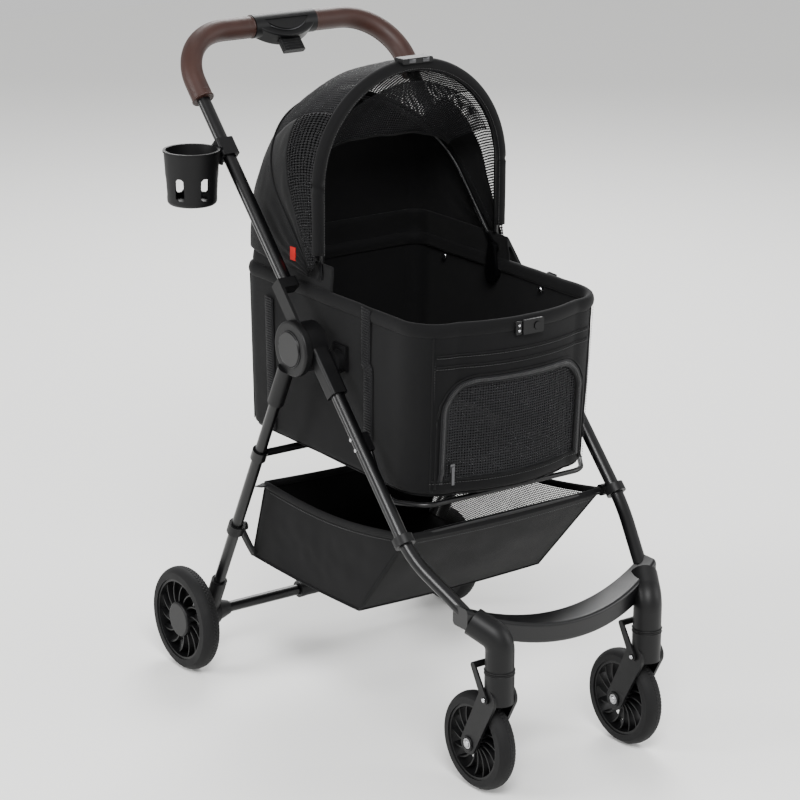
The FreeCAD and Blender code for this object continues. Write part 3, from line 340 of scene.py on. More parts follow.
def seed_box(name, length, width, height, top=0.6):
    """A small block lying along X with a narrower top, to be repeated."""
    l, w, h = length / 2, width / 2, height
    points = [(-l, -w, 0), (l, -w, 0), (l, w, 0), (-l, w, 0)]
    points += [(x * top, y * top, h) for x, y, _ in points]
    faces = [(3, 2, 1, 0), (4, 5, 6, 7), (0, 1, 5, 4), (1, 2, 6, 5), (2, 3, 7, 6), (3, 0, 4, 7)]
    obj = mesh_object(name, points, faces)
    obj.hide_render = obj.hide_viewport = True
    obj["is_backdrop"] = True
    return obj


print("repeat tree has", len(PATH_TREE.nodes), "nodes")

# %% [markdown]
# ## Finishes
# Nearly everything here is black, so the finishes differ in sheen and grain, not in colour:
# powder coat is satin with a faint orange peel, moulded nylon is dull with a fine grain,
# polyester is matte and drinks the light. Each starts from a typical roughness and IOR.

# %% Tools for materials
def colour(code):
    """A hex sRGB colour as linear RGBA."""
    parts = [int(code[i:i + 2], 16) / 255 for i in (1, 3, 5)]
    return tuple(c / 12.92 if c <= 0.04045 else ((c + 0.055) / 1.055) ** 2.4 for c in parts) + (1.0,)


def add_node(material, kind, settings=None, **inputs):
    """Add a node; an input is a number, a colour or another node's output."""
    tree = material.node_tree
    node = tree.nodes.new(kind)
    for key, value in (settings or {}).items():
        setattr(node, key, value)
    for key, value in inputs.items():
        socket = node.inputs[int(key[1:])] if key[0] == "n" and key[1:].isdigit() \
            else node.inputs[key.replace("_", " ")]
        if isinstance(value, bpy.types.NodeSocket):
            tree.links.new(value, socket)
        else:
            socket.default_value = value
    return node


def new_material(name, **constants):
    material = bpy.data.materials.new(name)
    material.use_nodes = True
    shader = material.node_tree.nodes["Principled BSDF"]
    for key, value in constants.items():
        shader.inputs[key.replace("_", " ")].default_value = value
    return material, shader


def plug(material, output, shader, socket):
    material.node_tree.links.new(output, shader.inputs[socket])


def spots(material, coords, size, detail=2.0):
    """Noise whose spots are about size millimetres across."""
    return add_node(material, "ShaderNodeTexNoise", Vector=coords, Scale=1 / (size * MM),
                    Detail=detail).outputs[0]


def between(material, factor, low, high):
    return add_node(material, "ShaderNodeMapRange", n0=factor, n3=low, n4=high).outputs[0]


def bump(material, shader, height, depth, strength=1.0):
    node = add_node(material, "ShaderNodeBump", Height=height, Distance=depth * MM, Strength=strength)
    plug(material, node.outputs[0], shader, "Normal")


def tint(material, shader, factor, dark, light):
    ramp = add_node(material, "ShaderNodeMix", {"data_type": "RGBA"}, n0=factor, n6=colour(dark),
                    n7=colour(light))
    plug(material, ramp.outputs[2], shader, "Base Color")


def object_place(material):
    return add_node(material, "ShaderNodeTexCoord").outputs["Object"]


def cloth_place(material):
    return add_node(material, "ShaderNodeUVMap").outputs[0]


print("colour #808080 is", round(colour("#808080")[0], 3), "linear")

# %% [markdown]
# ## Powder-coated tube
# The frame is steel and aluminium tube under black polyester powder. Baked powder flows into
# a satin skin with an orange peel about 2 mm across, so highlights run long and a bit soft.

# %% Powder coat and plastics
def grained(name, dark, light, rough, grain, depth, **constants):
    """A hard finish with a fine grain: the grain's size and depth are in millimetres."""
    constants.setdefault("Specular_IOR_Level", 0.22)
    material, shader = new_material(name, **constants)
    place = object_place(material)
    fine = spots(material, place, grain)
    broad = spots(material, place, 40.0)
    tint(material, shader, broad, dark, light)
    plug(material, between(material, broad, rough - 0.05, rough + 0.05), shader, "Roughness")
    bump(material, shader, fine, depth)
    return material


POWDER_COAT = grained("black_powder_coat", "#040405", "#070708", 0.32, 2.0, 0.02, IOR=1.5,
                      Specular_IOR_Level=0.3, Coat_Weight=0.1, Coat_Roughness=0.25)
NYLON = grained("moulded_nylon", "#050506", "#080809", 0.46, 0.9, 0.05, IOR=1.53)
SATIN_ABS = grained("satin_abs", "#050506", "#08080a", 0.34, 1.6, 0.012, IOR=1.54, Specular_IOR_Level=0.3)
POLYPROPYLENE = grained("moulded_polypropylene", "#050506", "#080809", 0.5, 0.9, 0.04, IOR=1.49)
WHEEL_NYLON = grained("wheel_nylon", "#060607", "#0a0a0b", 0.42, 1.0, 0.04, IOR=1.53)
print("hard finishes made")

# %% [markdown]
# ## Zinc, leather and foam rubber
# Bolts and rivets are zinc plated: metallic, slightly cloudy. The grips are coated brown
# leather with pores about 2 mm apart. The tyres are foam rubber, dull with a faint bloom.

# %% Metal, leather and tyre
ZINC = grained("zinc_plate", "#9a9a9c", "#b8b8ba", 0.3, 1.2, 0.01, Metallic=1.0)
CHROME = grained("polished_nickel", "#b5b5b8", "#c9c9cc", 0.16, 3.0, 0.003, Metallic=1.0)
SLIDER_METAL = grained("dark_nickel", "#4a4a4c", "#5c5c5e", 0.34, 2.0, 0.006, Metallic=1.0)
RED_CLOTH = grained("red_label_cloth", "#8c1512", "#a81c17", 0.8, 1.0, 0.05)
THREAD = grained("bonded_black_thread", "#1b1b1c", "#262627", 0.6, 0.8, 0.05, Sheen_Weight=0.2)


def leather():
    material, shader = new_material("brown_grip_leather", IOR=1.45, Specular_IOR_Level=0.35,
                                    Coat_Weight=0.05, Coat_Roughness=0.4)
    place = object_place(material)
    pores = add_node(material, "ShaderNodeTexVoronoi", {"feature": "DISTANCE_TO_EDGE"}, Vector=place,
                     Scale=1 / (1.9 * MM)).outputs["Distance"]
    worn = spots(material, place, 26.0, 4.0)
    tint(material, shader, worn, "#26140f", "#371e17")
    plug(material, between(material, worn, 0.42, 0.58), shader, "Roughness")
    bump(material, shader, pores, 0.35, 0.55)
    return material


def foam_rubber():
    material, shader = new_material("foam_rubber", IOR=1.5, Specular_IOR_Level=0.25)
    place = object_place(material)
    dust = spots(material, place, 18.0, 5.0)
    tint(material, shader, dust, "#060607", "#0a0a0b")
    plug(material, between(material, dust, 0.62, 0.78), shader, "Roughness")
    bump(material, shader, spots(material, place, 1.1), 0.12)
    return material


LEATHER = leather()
RUBBER = foam_rubber()
print("leather and rubber made")

# %% [markdown]
# ## Polyester cloth and mesh
# The carrier is tight plain-weave polyester. A thread is 0.4 mm wide, too fine to show from
# here, so the weave is drawn with a 1.5 mm pitch. The mesh is a knitted net with 3 mm holes,
# drawn with holes 4.2 mm apart: they are cut with alpha on the cloth's own UV, in metres.

# %% Woven cloth and net
WEAVE_PITCH = 1.5
NET_PITCH = 6.0


def reckon(material, operation, **values):
    return add_node(material, "ShaderNodeMath", {"operation": operation}, **values).outputs[0]


def weave(material, coords, pitch):
    """Over-and-under threads: the product of two waves along the cloth's own directions."""
    split = add_node(material, "ShaderNodeSeparateXYZ", Vector=coords)
    turns = [reckon(material, "MULTIPLY", n0=split.outputs[axis], n1=2 * pi / (pitch * MM))
             for axis in (0, 1)]
    waves = [reckon(material, "SINE", n0=turn) for turn in turns]
    return reckon(material, "MULTIPLY", n0=waves[0], n1=waves[1])


def polyester(name, dark, light, pitch=WEAVE_PITCH, rough=0.82, sheen=0.04):
    material, shader = new_material(name, IOR=1.45, Specular_IOR_Level=0.16, Sheen_Weight=sheen,
                                    Sheen_Roughness=0.5)
    coords = cloth_place(material)
    threads = weave(material, coords, pitch)
    wear = spots(material, object_place(material), 60.0, 3.0)
    tint(material, shader, wear, dark, light)
    plug(material, between(material, wear, rough - 0.06, rough + 0.06), shader, "Roughness")
    bump(material, shader, threads, 0.12, 0.5)
    return material


def net(name, dark, light, open_share):
    """Knitted net; open_share moves the edge between cloth and hole."""
    material, shader = new_material(name, IOR=1.45, Specular_IOR_Level=0.2)
    coords = cloth_place(material)
    turned = add_node(material, "ShaderNodeMapping", Vector=coords, Rotation=(0, 0, pi / 4))
    threads = weave(material, turned.outputs[0], NET_PITCH)
    hole = add_node(material, "ShaderNodeMapRange", n0=threads, n1=open_share - 0.12, n2=open_share + 0.12,
                    n3=1.0, n4=0.04)
    wear = spots(material, object_place(material), 50.0)
    tint(material, shader, wear, dark, light)
    shader.inputs["Roughness"].default_value = 0.7
    plug(material, hole.outputs[0], shader, "Alpha")
    bump(material, shader, threads, 0.3, 0.6)
    return material


CLOTH = polyester("carrier_polyester", "#050506", "#080809")
HOOD_CLOTH = polyester("hood_polyester", "#050506", "#080809", rough=0.78)
LINING = polyester("carrier_lining", "#040405", "#060607", rough=0.85, sheen=0.0)
BASKET_CLOTH = polyester("basket_polyester", "#050506", "#080809", rough=0.76, sheen=0.02)
MAT_CLOTH = polyester("mat_polyester", "#070708", "#0a0a0b", sheen=0.08)
WEBBING = polyester("ribbed_webbing", "#08080a", "#0e0e10", pitch=2.4, rough=0.55)
NET = net("window_net", "#151516", "#1d1d1f", 0.15)
OPEN_NET = net("hood_net", "#121213", "#19191a", 0.0)
print("cloth made, net pitch", NET_PITCH, "mm")

# %% [markdown]
# ## The view and the light
# The stroller is seen from its front left corner, from a little above, with a long lens that
# keeps its uprights nearly parallel. Three broad soft lamps and a pale room light it, and a
# fourth lamp behind draws the edges of black on black.

# %% Camera, lamps and floor
LENS = 121.9
EYE = Vector((-2.3617, -3.2269, 1.7635))
AHEAD = Vector((0.5547, 0.7745, -0.3039))
RIGHT = Vector((0.8139, -0.5810, 0.0051))


def camera():
    data = bpy.data.cameras.new("camera")
    data.lens = LENS
    obj = link(bpy.data.objects.new("camera", data))
    ahead = AHEAD.normalized()
    right = (RIGHT - ahead * RIGHT.dot(ahead)).normalized()
    up = right.cross(ahead)
    matrix = obj.matrix_world.copy()
    for row in range(3):
        matrix[row][0], matrix[row][1], matrix[row][2] = right[row], up[row], -ahead[row]
        matrix[row][3] = EYE[row]
    obj.matrix_world = matrix
    bpy.context.scene.camera = obj


def lamp(name, place, target, size, watts):
    data = bpy.data.lights.new(name, "AREA")
    data.energy, data.size = watts, size
    obj = link(bpy.data.objects.new(name, data))
    obj.location = place
    obj.rotation_euler = (Vector(target) - Vector(place)).to_track_quat("-Z", "Y").to_euler()


def floor():
    half = 6.0
    mesh = bpy.data.meshes.new("floor")
    corners = [(-half, -half, 0), (half, -half, 0), (half, half, 0), (-half, half, 0)]
    mesh.from_pydata(corners, [], [(0, 1, 2, 3)])
    obj = link(bpy.data.objects.new("floor", mesh))
    material, shader = new_material("pale_floor", Roughness=0.9)
    shader.inputs["Base Color"].default_value = colour("#f4f4f2")
    mesh.materials.append(material)
    obj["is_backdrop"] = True


camera()
floor()
CENTRE = (0.0, 0.0, 0.55)
lamp("key", (-1.6, -2.6, 3.4), CENTRE, 1.6, 200.0)
lamp("side", (-3.4, 0.8, 1.8), CENTRE, 1.4, 90.0)
lamp("edge", (1.8, 2.4, 2.8), CENTRE, 1.8, 120.0)
lamp("fill", (2.8, -2.2, 1.6), CENTRE, 1.6, 50.0)
world = bpy.data.worlds.new("pale_room")
world.use_nodes = True
sky = world.node_tree.nodes["Background"]
sky.inputs["Color"].default_value = colour("#f2f2f2")
sky.inputs["Strength"].default_value = 0.9
bpy.context.scene.world = world
print("lens", LENS, "mm")

# %% [markdown]
# ## Finishes on the CAD parts
# Each carried-over part gets the finish of its slot. Faces are shaded smooth, and an edge
# sharper than 35 degrees stays crisp.

# %% Paint the CAD nodes
SLOT_FINISH = {"frame_steel": POWDER_COAT, "moulded_black": NYLON, "satin_black": SATIN_ABS,
               "cup_plastic": POLYPROPYLENE, "leather_brown": LEATHER, "tyre_rubber": RUBBER,
               "wheel_plastic": WHEEL_NYLON, "zinc_steel": ZINC, "carrier_fabric": CLOTH,
               "hood_mesh": NET, "basket_fabric": BASKET_CLOTH, "mat_fabric": MAT_CLOTH}
for row in frame["record"]["subparts"]:
    mesh = nodes[row["node"]].data
    mesh.materials.clear()
    mesh.materials.append(SLOT_FINISH[row["material_slot"]])
CREASE = radians(35)
for node in nodes.values():
    for face in node.data.polygons:
        face.use_smooth = True
    node.data.set_sharp_from_angle(angle=CREASE)
print("painted", len(nodes), "nodes")

# %% [markdown]
# ## The carrier's plan
# The pattern for the carrier is one outline, seen from above: straight sides, tight rear
# corners, wide front corners and a front panel that bows out. It is walked at even steps, so
# every sheet, seam and binding that goes round the carrier can share it.

# %% Walk the carrier's outline
CORNER_FRONT, CORNER_REAR, CROWN = 62.0, 34.0, 22.0
LEAN = 12.0                     # the front panel leans in this much at its foot
SIDE_TAPER = 6.0
HALF = carrier_high.x
FRONT_Y, REAR_Y = carrier_low.y, carrier_high.y
FOOT_Z, RIM_Z = carrier_low.z, carrier_high.z


def arc_points(centre, radius, start, end, steps):
    return [(centre[0] + radius * cos(radians(lerp(start, end, k / steps))),
             centre[1] + radius * sin(radians(lerp(start, end, k / steps)))) for k in range(steps + 1)]


def outline(inset=0.0, z=None):
    """Plan outline, anticlockwise from the middle of the rear panel, as (x, y) points."""
    share = 0.0 if z is None else (RIM_Z - z) / (RIM_Z - FOOT_Z)
    half = HALF - SIDE_TAPER * share - inset
    front = FRONT_Y + LEAN * share + inset
    rear = REAR_Y - inset
    fr, rr = CORNER_FRONT - inset, CORNER_REAR - inset
    chord = half - fr
    bow = (chord * chord + CROWN * CROWN) / (2 * CROWN)
    swing = atan2(chord, bow - CROWN) * 180 / pi
    left = [(0, rear)] + arc_points((-half + rr, rear - rr), rr, 90, 180, 8)
    left += arc_points((-half + fr, front + CROWN + fr), fr, 180, 270, 12)
    crown = arc_points((0, front + bow), bow, 270 - swing, 270 + swing, 24)
    return left + crown[1:-1] + [(-x, y) for x, y in reversed(left)]


def evenly(points, count):
    """The same closed line at count even steps, ending where it starts."""
    lengths = list(accumulate((dist(a, b) for a, b in zip(points, points[1:])), initial=0.0))
    result, k = [], 0
    for step in range(count + 1):
        want = lengths[-1] * step / count
        while k < len(points) - 2 and lengths[k + 1] < want:
            k += 1
        share = (want - lengths[k]) / max(lengths[k + 1] - lengths[k], 1e-9)
        result.append(tuple(lerp(a, b, min(share, 1.0)) for a, b in zip(points[k], points[k + 1])))
    return result


STEPS_ROUND = 240
rings = {}


def ring_at(inset, z):
    key = (round(inset, 2), round(z, 1))
    if key not in rings:
        rings[key] = evenly(outline(*key), STEPS_ROUND)
    return rings[key]


def front_y(x, z, inset=0.0):
    """Y of the front panel's outside at this place."""
    ring = ring_at(inset, z)
    return min((p for p in ring if p[1] < 0), key=lambda p: abs(p[0] - x))[1]


rim_line = ring_at(0, RIM_Z)
girth = sum(dist(a, b) for a, b in zip(rim_line, rim_line[1:]))
print("once round the carrier is", round(girth), "mm")

# %% [markdown]
# ## The carrier's wall
# Cloth over thin boards: nearly flat panels that swell a little between their seams, with a
# rounded lower edge. A grid goes round the outline, and Solidify gives it the board's
# thickness. The window is cut out of it with a Boolean, as the machinist cuts the panel.

# %% Carrier wall with its window cut out
WALL = 4.0
WINDOW_X = (-122.0, 118.0)
WINDOW_Z = (443.0, 588.0)
WINDOW_CORNER = 46.0
FOOT_R = 9.0


def moved_out(x, y, z, lift, middle_y=10.0):
    """The same place, lift further from an upright line in the carrier's middle."""
    out = Vector((x, y - middle_y)).normalized()
    return x + out.x * lift, y + out.y * lift, z


def wall_point(u, v):
    z = lerp(FOOT_Z, RIM_Z - 6, v)
    tuck = FOOT_R - sqrt(max(FOOT_R ** 2 - max(FOOT_Z + FOOT_R - z, 0) ** 2, 0))
    x, y = ring_at(0, z)[round(u * STEPS_ROUND)]
    height = (z - FOOT_Z) / (RIM_Z - FOOT_Z)
    swell = 2.4 * sin(pi * height) * (0.4 + 0.6 * min(abs(y) / 120, 1)) if abs(x) > HALF - 20 else 0.6
    swell += 1.1 * ripple((x, y, z), 70.0) + 0.4 * ripple((x, y, z), 24.0, 5.0)
    return moved_out(x, y, z, swell - tuck - 1.0)


def arch_line(x_range, z_range, corner, grow=0.0, steps=10):
    """The window's outline, from its lower left corner up and over to its lower right."""
    x0, x1 = x_range[0] - grow, x_range[1] + grow
    z0, z1 = z_range[0] - grow, z_range[1] + grow
    r = corner + grow
    left = [(x0, lerp(z0, z1 - r, k / 12)) for k in range(12)]
    left += arc_points((x0 + r, z1 - r), r, 180, 90, steps)
    right = [(x0 + x1 - x, z) for x, z in reversed(left)]
    bridge = [(lerp(x0 + r, x1 - r, k / 16), z1) for k in range(1, 16)]
    return left + bridge + right


def cutter(points, y0, y1):
    count = len(points)
    verts = [(x, y, z) for y in (y0, y1) for x, z in points]
    faces = [tuple(range(count)), tuple(range(count, 2 * count))[::-1]]
    faces += [(k, k + count, (k + 1) % count + count, (k + 1) % count) for k in range(count)]
    return face_out(mesh_object("window_cutter", verts, faces))


wall = grid("carrier_wall", wall_point, STEPS_ROUND, 44, closed=True)
face_out(wall, (0, 0, 550))
thicken(wall, WALL)
window_cutter = cutter(arch_line(WINDOW_X, WINDOW_Z, WINDOW_CORNER), FRONT_Y - 40, FRONT_Y + 90)
cut = wall.modifiers.new("window", "BOOLEAN")
cut.object = window_cutter
cut.solver = "EXACT"
settle(wall)
bpy.data.objects.remove(window_cutter)
finish(wall, CLOTH, "carrier")
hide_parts("carrier_shell")
print("wall has", len(wall.data.polygons), "faces")

# %% [markdown]
# ## Floor board, net window and rim
# The floor is a board in its own cloth pocket. The net is held a little inside the wall. The
# rim is the wall's own cloth folded over a foam strip, so it is round on top and 14 mm thick.

# %% Floor, window net and padded rim
def floor_point(u, v):
    x, y = ring_at(5.0, FOOT_Z)[round(u * STEPS_ROUND)]
    reach = min(v * 1.15, 1.0)
    z = FOOT_Z + 1.2 + 1.2 * ripple((x * reach, y * reach, 0), 60)
    return lerp(0.0, x, reach), lerp(0.0, y, reach), z


board = grid("carrier_floor", floor_point, STEPS_ROUND, 10, closed=True)
thicken(board, 3.0, offset=0.0)
face_out(board)
finish(board, CLOTH, "carrier")


def net_point(u, v):
    x = lerp(WINDOW_X[0] - 4, WINDOW_X[1] + 4, u)
    z = lerp(WINDOW_Z[0] - 4, WINDOW_Z[1] + 4, v)
    sag = 1.5 * sin(pi * u) * sin(pi * v)
    return x, front_y(x, z) + 2.6 + sag + 0.5 * ripple((x, 0, z), 40), z


def trim_to(obj, keep):
    """Delete the vertices of a sheet that keep(x, y, z) turns down."""
    work = bmesh.new()
    work.from_mesh(obj.data)
    bmesh.ops.delete(work, geom=[v for v in work.verts if not keep(*(v.co / MM))], context="VERTS")
    work.to_mesh(obj.data)
    work.free()
    return obj


def inside_arch(x, y, z, grow=3.5):
    r = WINDOW_CORNER + grow
    x0, x1, z1 = WINDOW_X[0] - grow, WINDOW_X[1] + grow, WINDOW_Z[1] + grow
    dx = max(x0 + r - x, x - x1 + r, 0)
    dz = max(z - z1 + r, 0)
    return hypot(dx, dz) < r


window = trim_to(grid("window_net", net_point, 62, 38), inside_arch)
sew(window, (0, 0, 520), 0.6, NET, "carrier")


def rim_ring(inset, z, wobble):
    line = []
    for x, y in ring_at(inset, z)[:-1]:
        push = wobble * ripple((x, y, z), 34.0, 3.0)
        line.append((x, y, z + push))
    return line


rim = tube("carrier_rim", rim_ring(4.0, RIM_Z - 11, 0.8), 11.0, closed=True, flat=0.62, sides=14)
finish(rim, CLOTH, "carrier")
print("net and rim made")

# %% [markdown]
# ## Piping, pleats and seams
# A seam shows as a thin ridge where the cloth is folded under, with a line of stitches beside
# it. Two pleats run round the front above the window, and one piping closes the foot.

# %% Seam ridges round the carrier
STITCH = seed_box("stitch_seed", 2.6, 0.8, 0.7)
STITCH_STEP = 4.2
PLEAT_HEIGHTS = (636.0, 619.0)
PIPE_R = 1.1
SEAM_X = -143.0                # the front panel's side seams


def surface_path(z, x_low, x_high, lift=0.4):
    """Points on the carrier's front at one height, between two X values."""
    return [moved_out(x, y, z, lift) for x, y in ring_at(0, z) if y < -40 and x_low <= x <= x_high]


def upright(x_sign, z0, z1, place, lift=0.4, steps=24):
    """A vertical line on the wall, at the outline point nearest to place."""
    path = []
    for k in range(steps + 1):
        z = lerp(z0, z1, k / steps)
        x, y = min(ring_at(0, z), key=lambda p: hypot(p[0] - x_sign * place[0], p[1] - place[1]))
        path.append(moved_out(x, y, z, lift))
    return path


seam_paths = [upright(side, FOOT_Z + 8, RIM_Z - 20, (-SEAM_X, -208)) for side in (-1, 1)]
pleat_paths = [surface_path(z, SEAM_X, -SEAM_X, 0.8) for z in PLEAT_HEIGHTS]
foot_path = [surface_path(FOOT_Z + 24, SEAM_X, -SEAM_X, 0.8)]
corner_paths = [upright(side, FOOT_Z + 8, RIM_Z - 20, (165, 245)) for side in (-1, 1)]
ridges = [tube("ridge", path, PIPE_R, sides=6)
          for path in seam_paths + pleat_paths + foot_path + corner_paths]
finish(join("carrier_seams", ridges), CLOTH, "carrier")


def beside(path, drop):
    return [(x, y - 0.2, z - drop) for x, y, z in path]


stitch_paths = [beside(path, 3.4) for path in pleat_paths + foot_path]
stitch_paths += [[(x + 3.4, y - 0.4, z) for x, y, z in path] for path in seam_paths]
stitches = sew_row("carrier_stitches", stitch_paths, STITCH, STITCH_STEP, (0, -1, 0), THREAD,
                   "carrier")
print("stitches:", len(stitches.data.polygons) // 6)

# %% [markdown]
# ## The zip
# A coil zip runs round the window: an 11 mm tape, a row of coil turns 2.3 mm apart, and the
# slider at the foot of the left run. The slider is its own body, because it travels.

# %% Zip tape, coil and slider
def on_front(points, lift):
    return [(x, front_y(x, z) - lift, z) for x, z in points]


def ribbon(name, path, width, height, body, material, across=None):
    """A flat band along a path on the front panel, square to across."""
    verts = []
    for i, p in enumerate(path):
        a, b = Vector(path[max(i - 1, 0)]), Vector(path[min(i + 1, len(path) - 1)])
        along = (b - a).normalized()
        wide = along.cross(Vector(across or (0, -1, 0))).normalized() * (width / 2)
        out = Vector(across or (0, -1, 0)) * height
        here = Vector(p)
        verts += [here - wide, here + wide, here + wide * 0.86 + out, here - wide * 0.86 + out]
    return finish(face_out(mesh_object(name, verts, ring_faces(len(path), 4))), material, body)


TAPE_W = 11.0
zip_line = on_front(arch_line(WINDOW_X, WINDOW_Z, WINDOW_CORNER, 6.0), 0.4)
ribbon("zip_tape", zip_line, TAPE_W, 0.9, "carrier", WEBBING)
TOOTH = seed_box("tooth_seed", 1.3, 4.6, 1.5, 0.7)
TOOTH_STEP = 2.3
sew_row("zip_teeth", [[(x, y - 0.8, z) for x, y, z in zip_line]], TOOTH, TOOTH_STEP, (0, -1, 0), THREAD,
        "carrier")
piping_line = on_front(arch_line(WINDOW_X, WINDOW_Z, WINDOW_CORNER, 14.0), 0.6)
finish(tube("window_piping", piping_line, 1.5, sides=8), CLOTH, "carrier")
for face in nodes["zip_slider"].data.polygons:
    face.use_smooth = False
nodes["zip_slider"].data.materials[0] = SLIDER_METAL
print("zip is", round(sum((Vector(b) - Vector(a)).length for a, b in zip(zip_line, zip_line[1:]))), "mm long")

# %% [markdown]
# ## Webbing straps and snaps
# Two straps of ribbed webbing are sewn down each side of the carrier. The ribs stand across
# the strap every 4 mm, so they are a repeat along it.

# %% Webbing with its ribs
RIB = seed_box("rib_seed", 2.0, 21.0, 1.1, 0.8)
STRAP_W, STRAP_RIB_STEP = 24.0, 4.0
STRAP_PLACES = ((181.0, 424.0, 640.0), (-86.0, 478.0, 683.0))     # y, lower end, upper end


def side_path(side, y, z0, z1, lift):
    return [(x + side * lift, yy, z) for x, yy, z in upright(side, z0, z1, (HALF, y), 0.0)]


for label, side in (("left", -1), ("right", 1)):
    straps, rib_lines = [], []
    for y, z0, z1 in STRAP_PLACES:
        path = side_path(side, y, z0, z1, 2.2)
        straps.append(ribbon("strap", path, STRAP_W, 1.6, None, WEBBING, (side, 0, 0)))
        rib_lines.append([(x + side * 1.5, yy, z) for x, yy, z in path])
    finish(join("side_straps_" + label, straps), WEBBING, "carrier")
    sew_row("strap_ribs_" + label, rib_lines, RIB, STRAP_RIB_STEP, (side, 0, 0), WEBBING,
            "carrier")


def dome(name, centre, axis, radius, height, body, material, sides=20):
    """A shallow domed stud on an axis."""
    axis = Vector(axis).normalized()
    a = axis.orthogonal().normalized()
    b = axis.cross(a)
    profile = [(radius, 0.0), (radius, height * 0.45), (radius * 0.8, height * 0.85), (radius * 0.4, height)]
    verts = [Vector(centre) + a * (r * cos(t)) + b * (r * sin(t)) + axis * h
             for r, h in profile for t in [2 * pi * k / sides for k in range(sides)]]
    obj = face_out(mesh_object(name, verts, ring_faces(len(profile), sides)))
    return finish(obj, material, body)


SNAP_Z = 656.0
inner_half = HALF - WALL - 4.5
for place, y in (("front", -71.0), ("rear", 178.0)):
    for label, side in (("left", -1), ("right", 1)):
        dome("snap_%s_%s" % (place, label), (side * inner_half, y, SNAP_Z), (-side, 0, 0), 5.5, 2.4,
             "carrier", CHROME)
print("straps and snaps made")

# %% [markdown]
# ## The hood's pattern
# Both bows are the same arch: two straight legs and a half circle. Turned about the pivots,
# the arch draws the whole hood, so a place on it is (how far along the arch, bow angle). The
# rear of the hood is a flat drop instead, which a soft minimum blends into the round part.

# %% Places on the hood
FRONT_ANGLE = 90.0
ARCH_FOOT = 16.0
arch_straight = HOOD_LEG - ARCH_FOOT
arch_length = 2 * arch_straight + pi * HOOD_HALF
HOOD_BACK = REAR_Y - 3.0


def arch(t, shrink=0.0):
    """(x, distance from the pivot line) at a share t of the arch, from the left foot."""
    run = t * arch_length
    half = HOOD_HALF - shrink
    if run <= arch_straight:
        return -half, ARCH_FOOT + run
    if run >= arch_length - arch_straight:
        return half, ARCH_FOOT + arch_length - run
    turn = (run - arch_straight) / HOOD_HALF
    return -half * cos(turn), HOOD_LEG + half * sin(turn)


def soft_min(value, limit, blend=26.0):
    gap = (limit - value) / blend
    return value if gap > 1 else limit - blend * max(gap + (1 - gap) ** 2 / 4, 0) if gap > -1 else limit


def hood_place(t, angle, lift=0.0):
    x, reach = arch(t, -lift)
    y = PIVOT_Y + reach * cos(radians(angle))
    return Vector((x, soft_min(y, HOOD_BACK), PIVOT_Z + reach * sin(radians(angle))))


def hood_cloth(low, high, belly, seed):
    """A sheet of the hood between two bow angles, sagging or bulging between them."""
    def point(u, v):
        angle = lerp(low, high, v)
        x, reach = arch(u)
        side = abs(x) / HOOD_HALF
        lift = sin(pi * v) * lerp(-4.5, belly, side ** 3)
        here = hood_place(u, angle, lift)
        out = Vector((x * 0.6, here.y - PIVOT_Y, here.z - PIVOT_Z - 60)).normalized()
        wrinkle = 2.2 * ripple(here, 60.0, seed)
        wrinkle += 0.9 * ripple((here.x, here.y * 2.2, here.z), 24.0, seed + 9)
        free = sin(pi * v) ** 0.5 if 0 < v < 1 else 0.0
        pleat = 1.6 * sin(angle * 0.55 + 3 * ripple(here, 90.0, seed)) * max(0.0, 1 - reach / 190)
        return here + out * (wrinkle * free) + Vector((pleat * (1 if x > 0 else -1), 0, 0))
    return point


print("the arch is", round(arch_length), "mm along")

# %% [markdown]
# ## Rear of the hood
# One panel of polyester from the carrier's rim up to the middle bow. It crosses that bow's hinge.

# %% Rear panel, and the skirt that joins it to the rim
COVER_T = 1.4
HOOD_MIDDLE = (0, PIVOT_Y + 60, PIVOT_Z + 40)
hood_rear = grid("hood_rear_panel", hood_cloth(3.0, MID_BOW_ANGLE, 3.0, 1.0), 120, 34)
sew(hood_rear, HOOD_MIDDLE, COVER_T, HOOD_CLOTH, None,
    instead_of="hood_rear_cover")
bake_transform(hood_rear)


skirt_ring = [p for p in ring_at(7.0, RIM_Z) if p[1] > PIVOT_Y - 34]
half_way = max(range(len(skirt_ring) - 1), key=lambda k: dist(skirt_ring[k + 1], skirt_ring[k]))
skirt_ring = skirt_ring[half_way + 1:] + skirt_ring[:half_way + 1]


def skirt_round(u, v):
    low = skirt_ring[round(u * (len(skirt_ring) - 1))]
    z = lerp(RIM_Z - 14, PIVOT_Z + 24, v)
    swell = 3.0 * sin(pi * min(v * 1.4, 1.0)) + 0.8 * ripple((low[0], low[1], z), 40.0, 4.0)
    return moved_out(low[0], low[1], z, swell, middle_y=60.0)


skirt = grid("hood_skirt", skirt_round, len(skirt_ring) - 1, 8)
sew(skirt, (0, PIVOT_Y + 60, PIVOT_Z), COVER_T, HOOD_CLOTH, "carrier")
print("rear panel and skirt made")

# %% [markdown]
# ## Net between the bows
# The sides start as polyester behind and turn into net towards the front bow; the top is net.

# %% Net top and side gussets
net_low, net_high = MID_BOW_ANGLE, FRONT_ANGLE


def across_front_hinge(obj):
    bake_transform(obj)


def part_sheet(name, u0, u1, a0, a1, material, columns, rows, instead_of=None):
    """The piece of the hood between two shares of the arch and two bow angles."""
    whole = hood_cloth(net_low, net_high, 7.0, 2.0)
    v0, v1 = [(a - net_low) / (net_high - net_low) for a in (a0, a1)]
    sheet = grid(name, lambda u, v: whole(lerp(u0, u1, u), lerp(v0, v1, v)), columns, rows)
    sew(sheet, HOOD_MIDDLE, 0.8, material, None, instead_of)
    across_front_hinge(sheet)


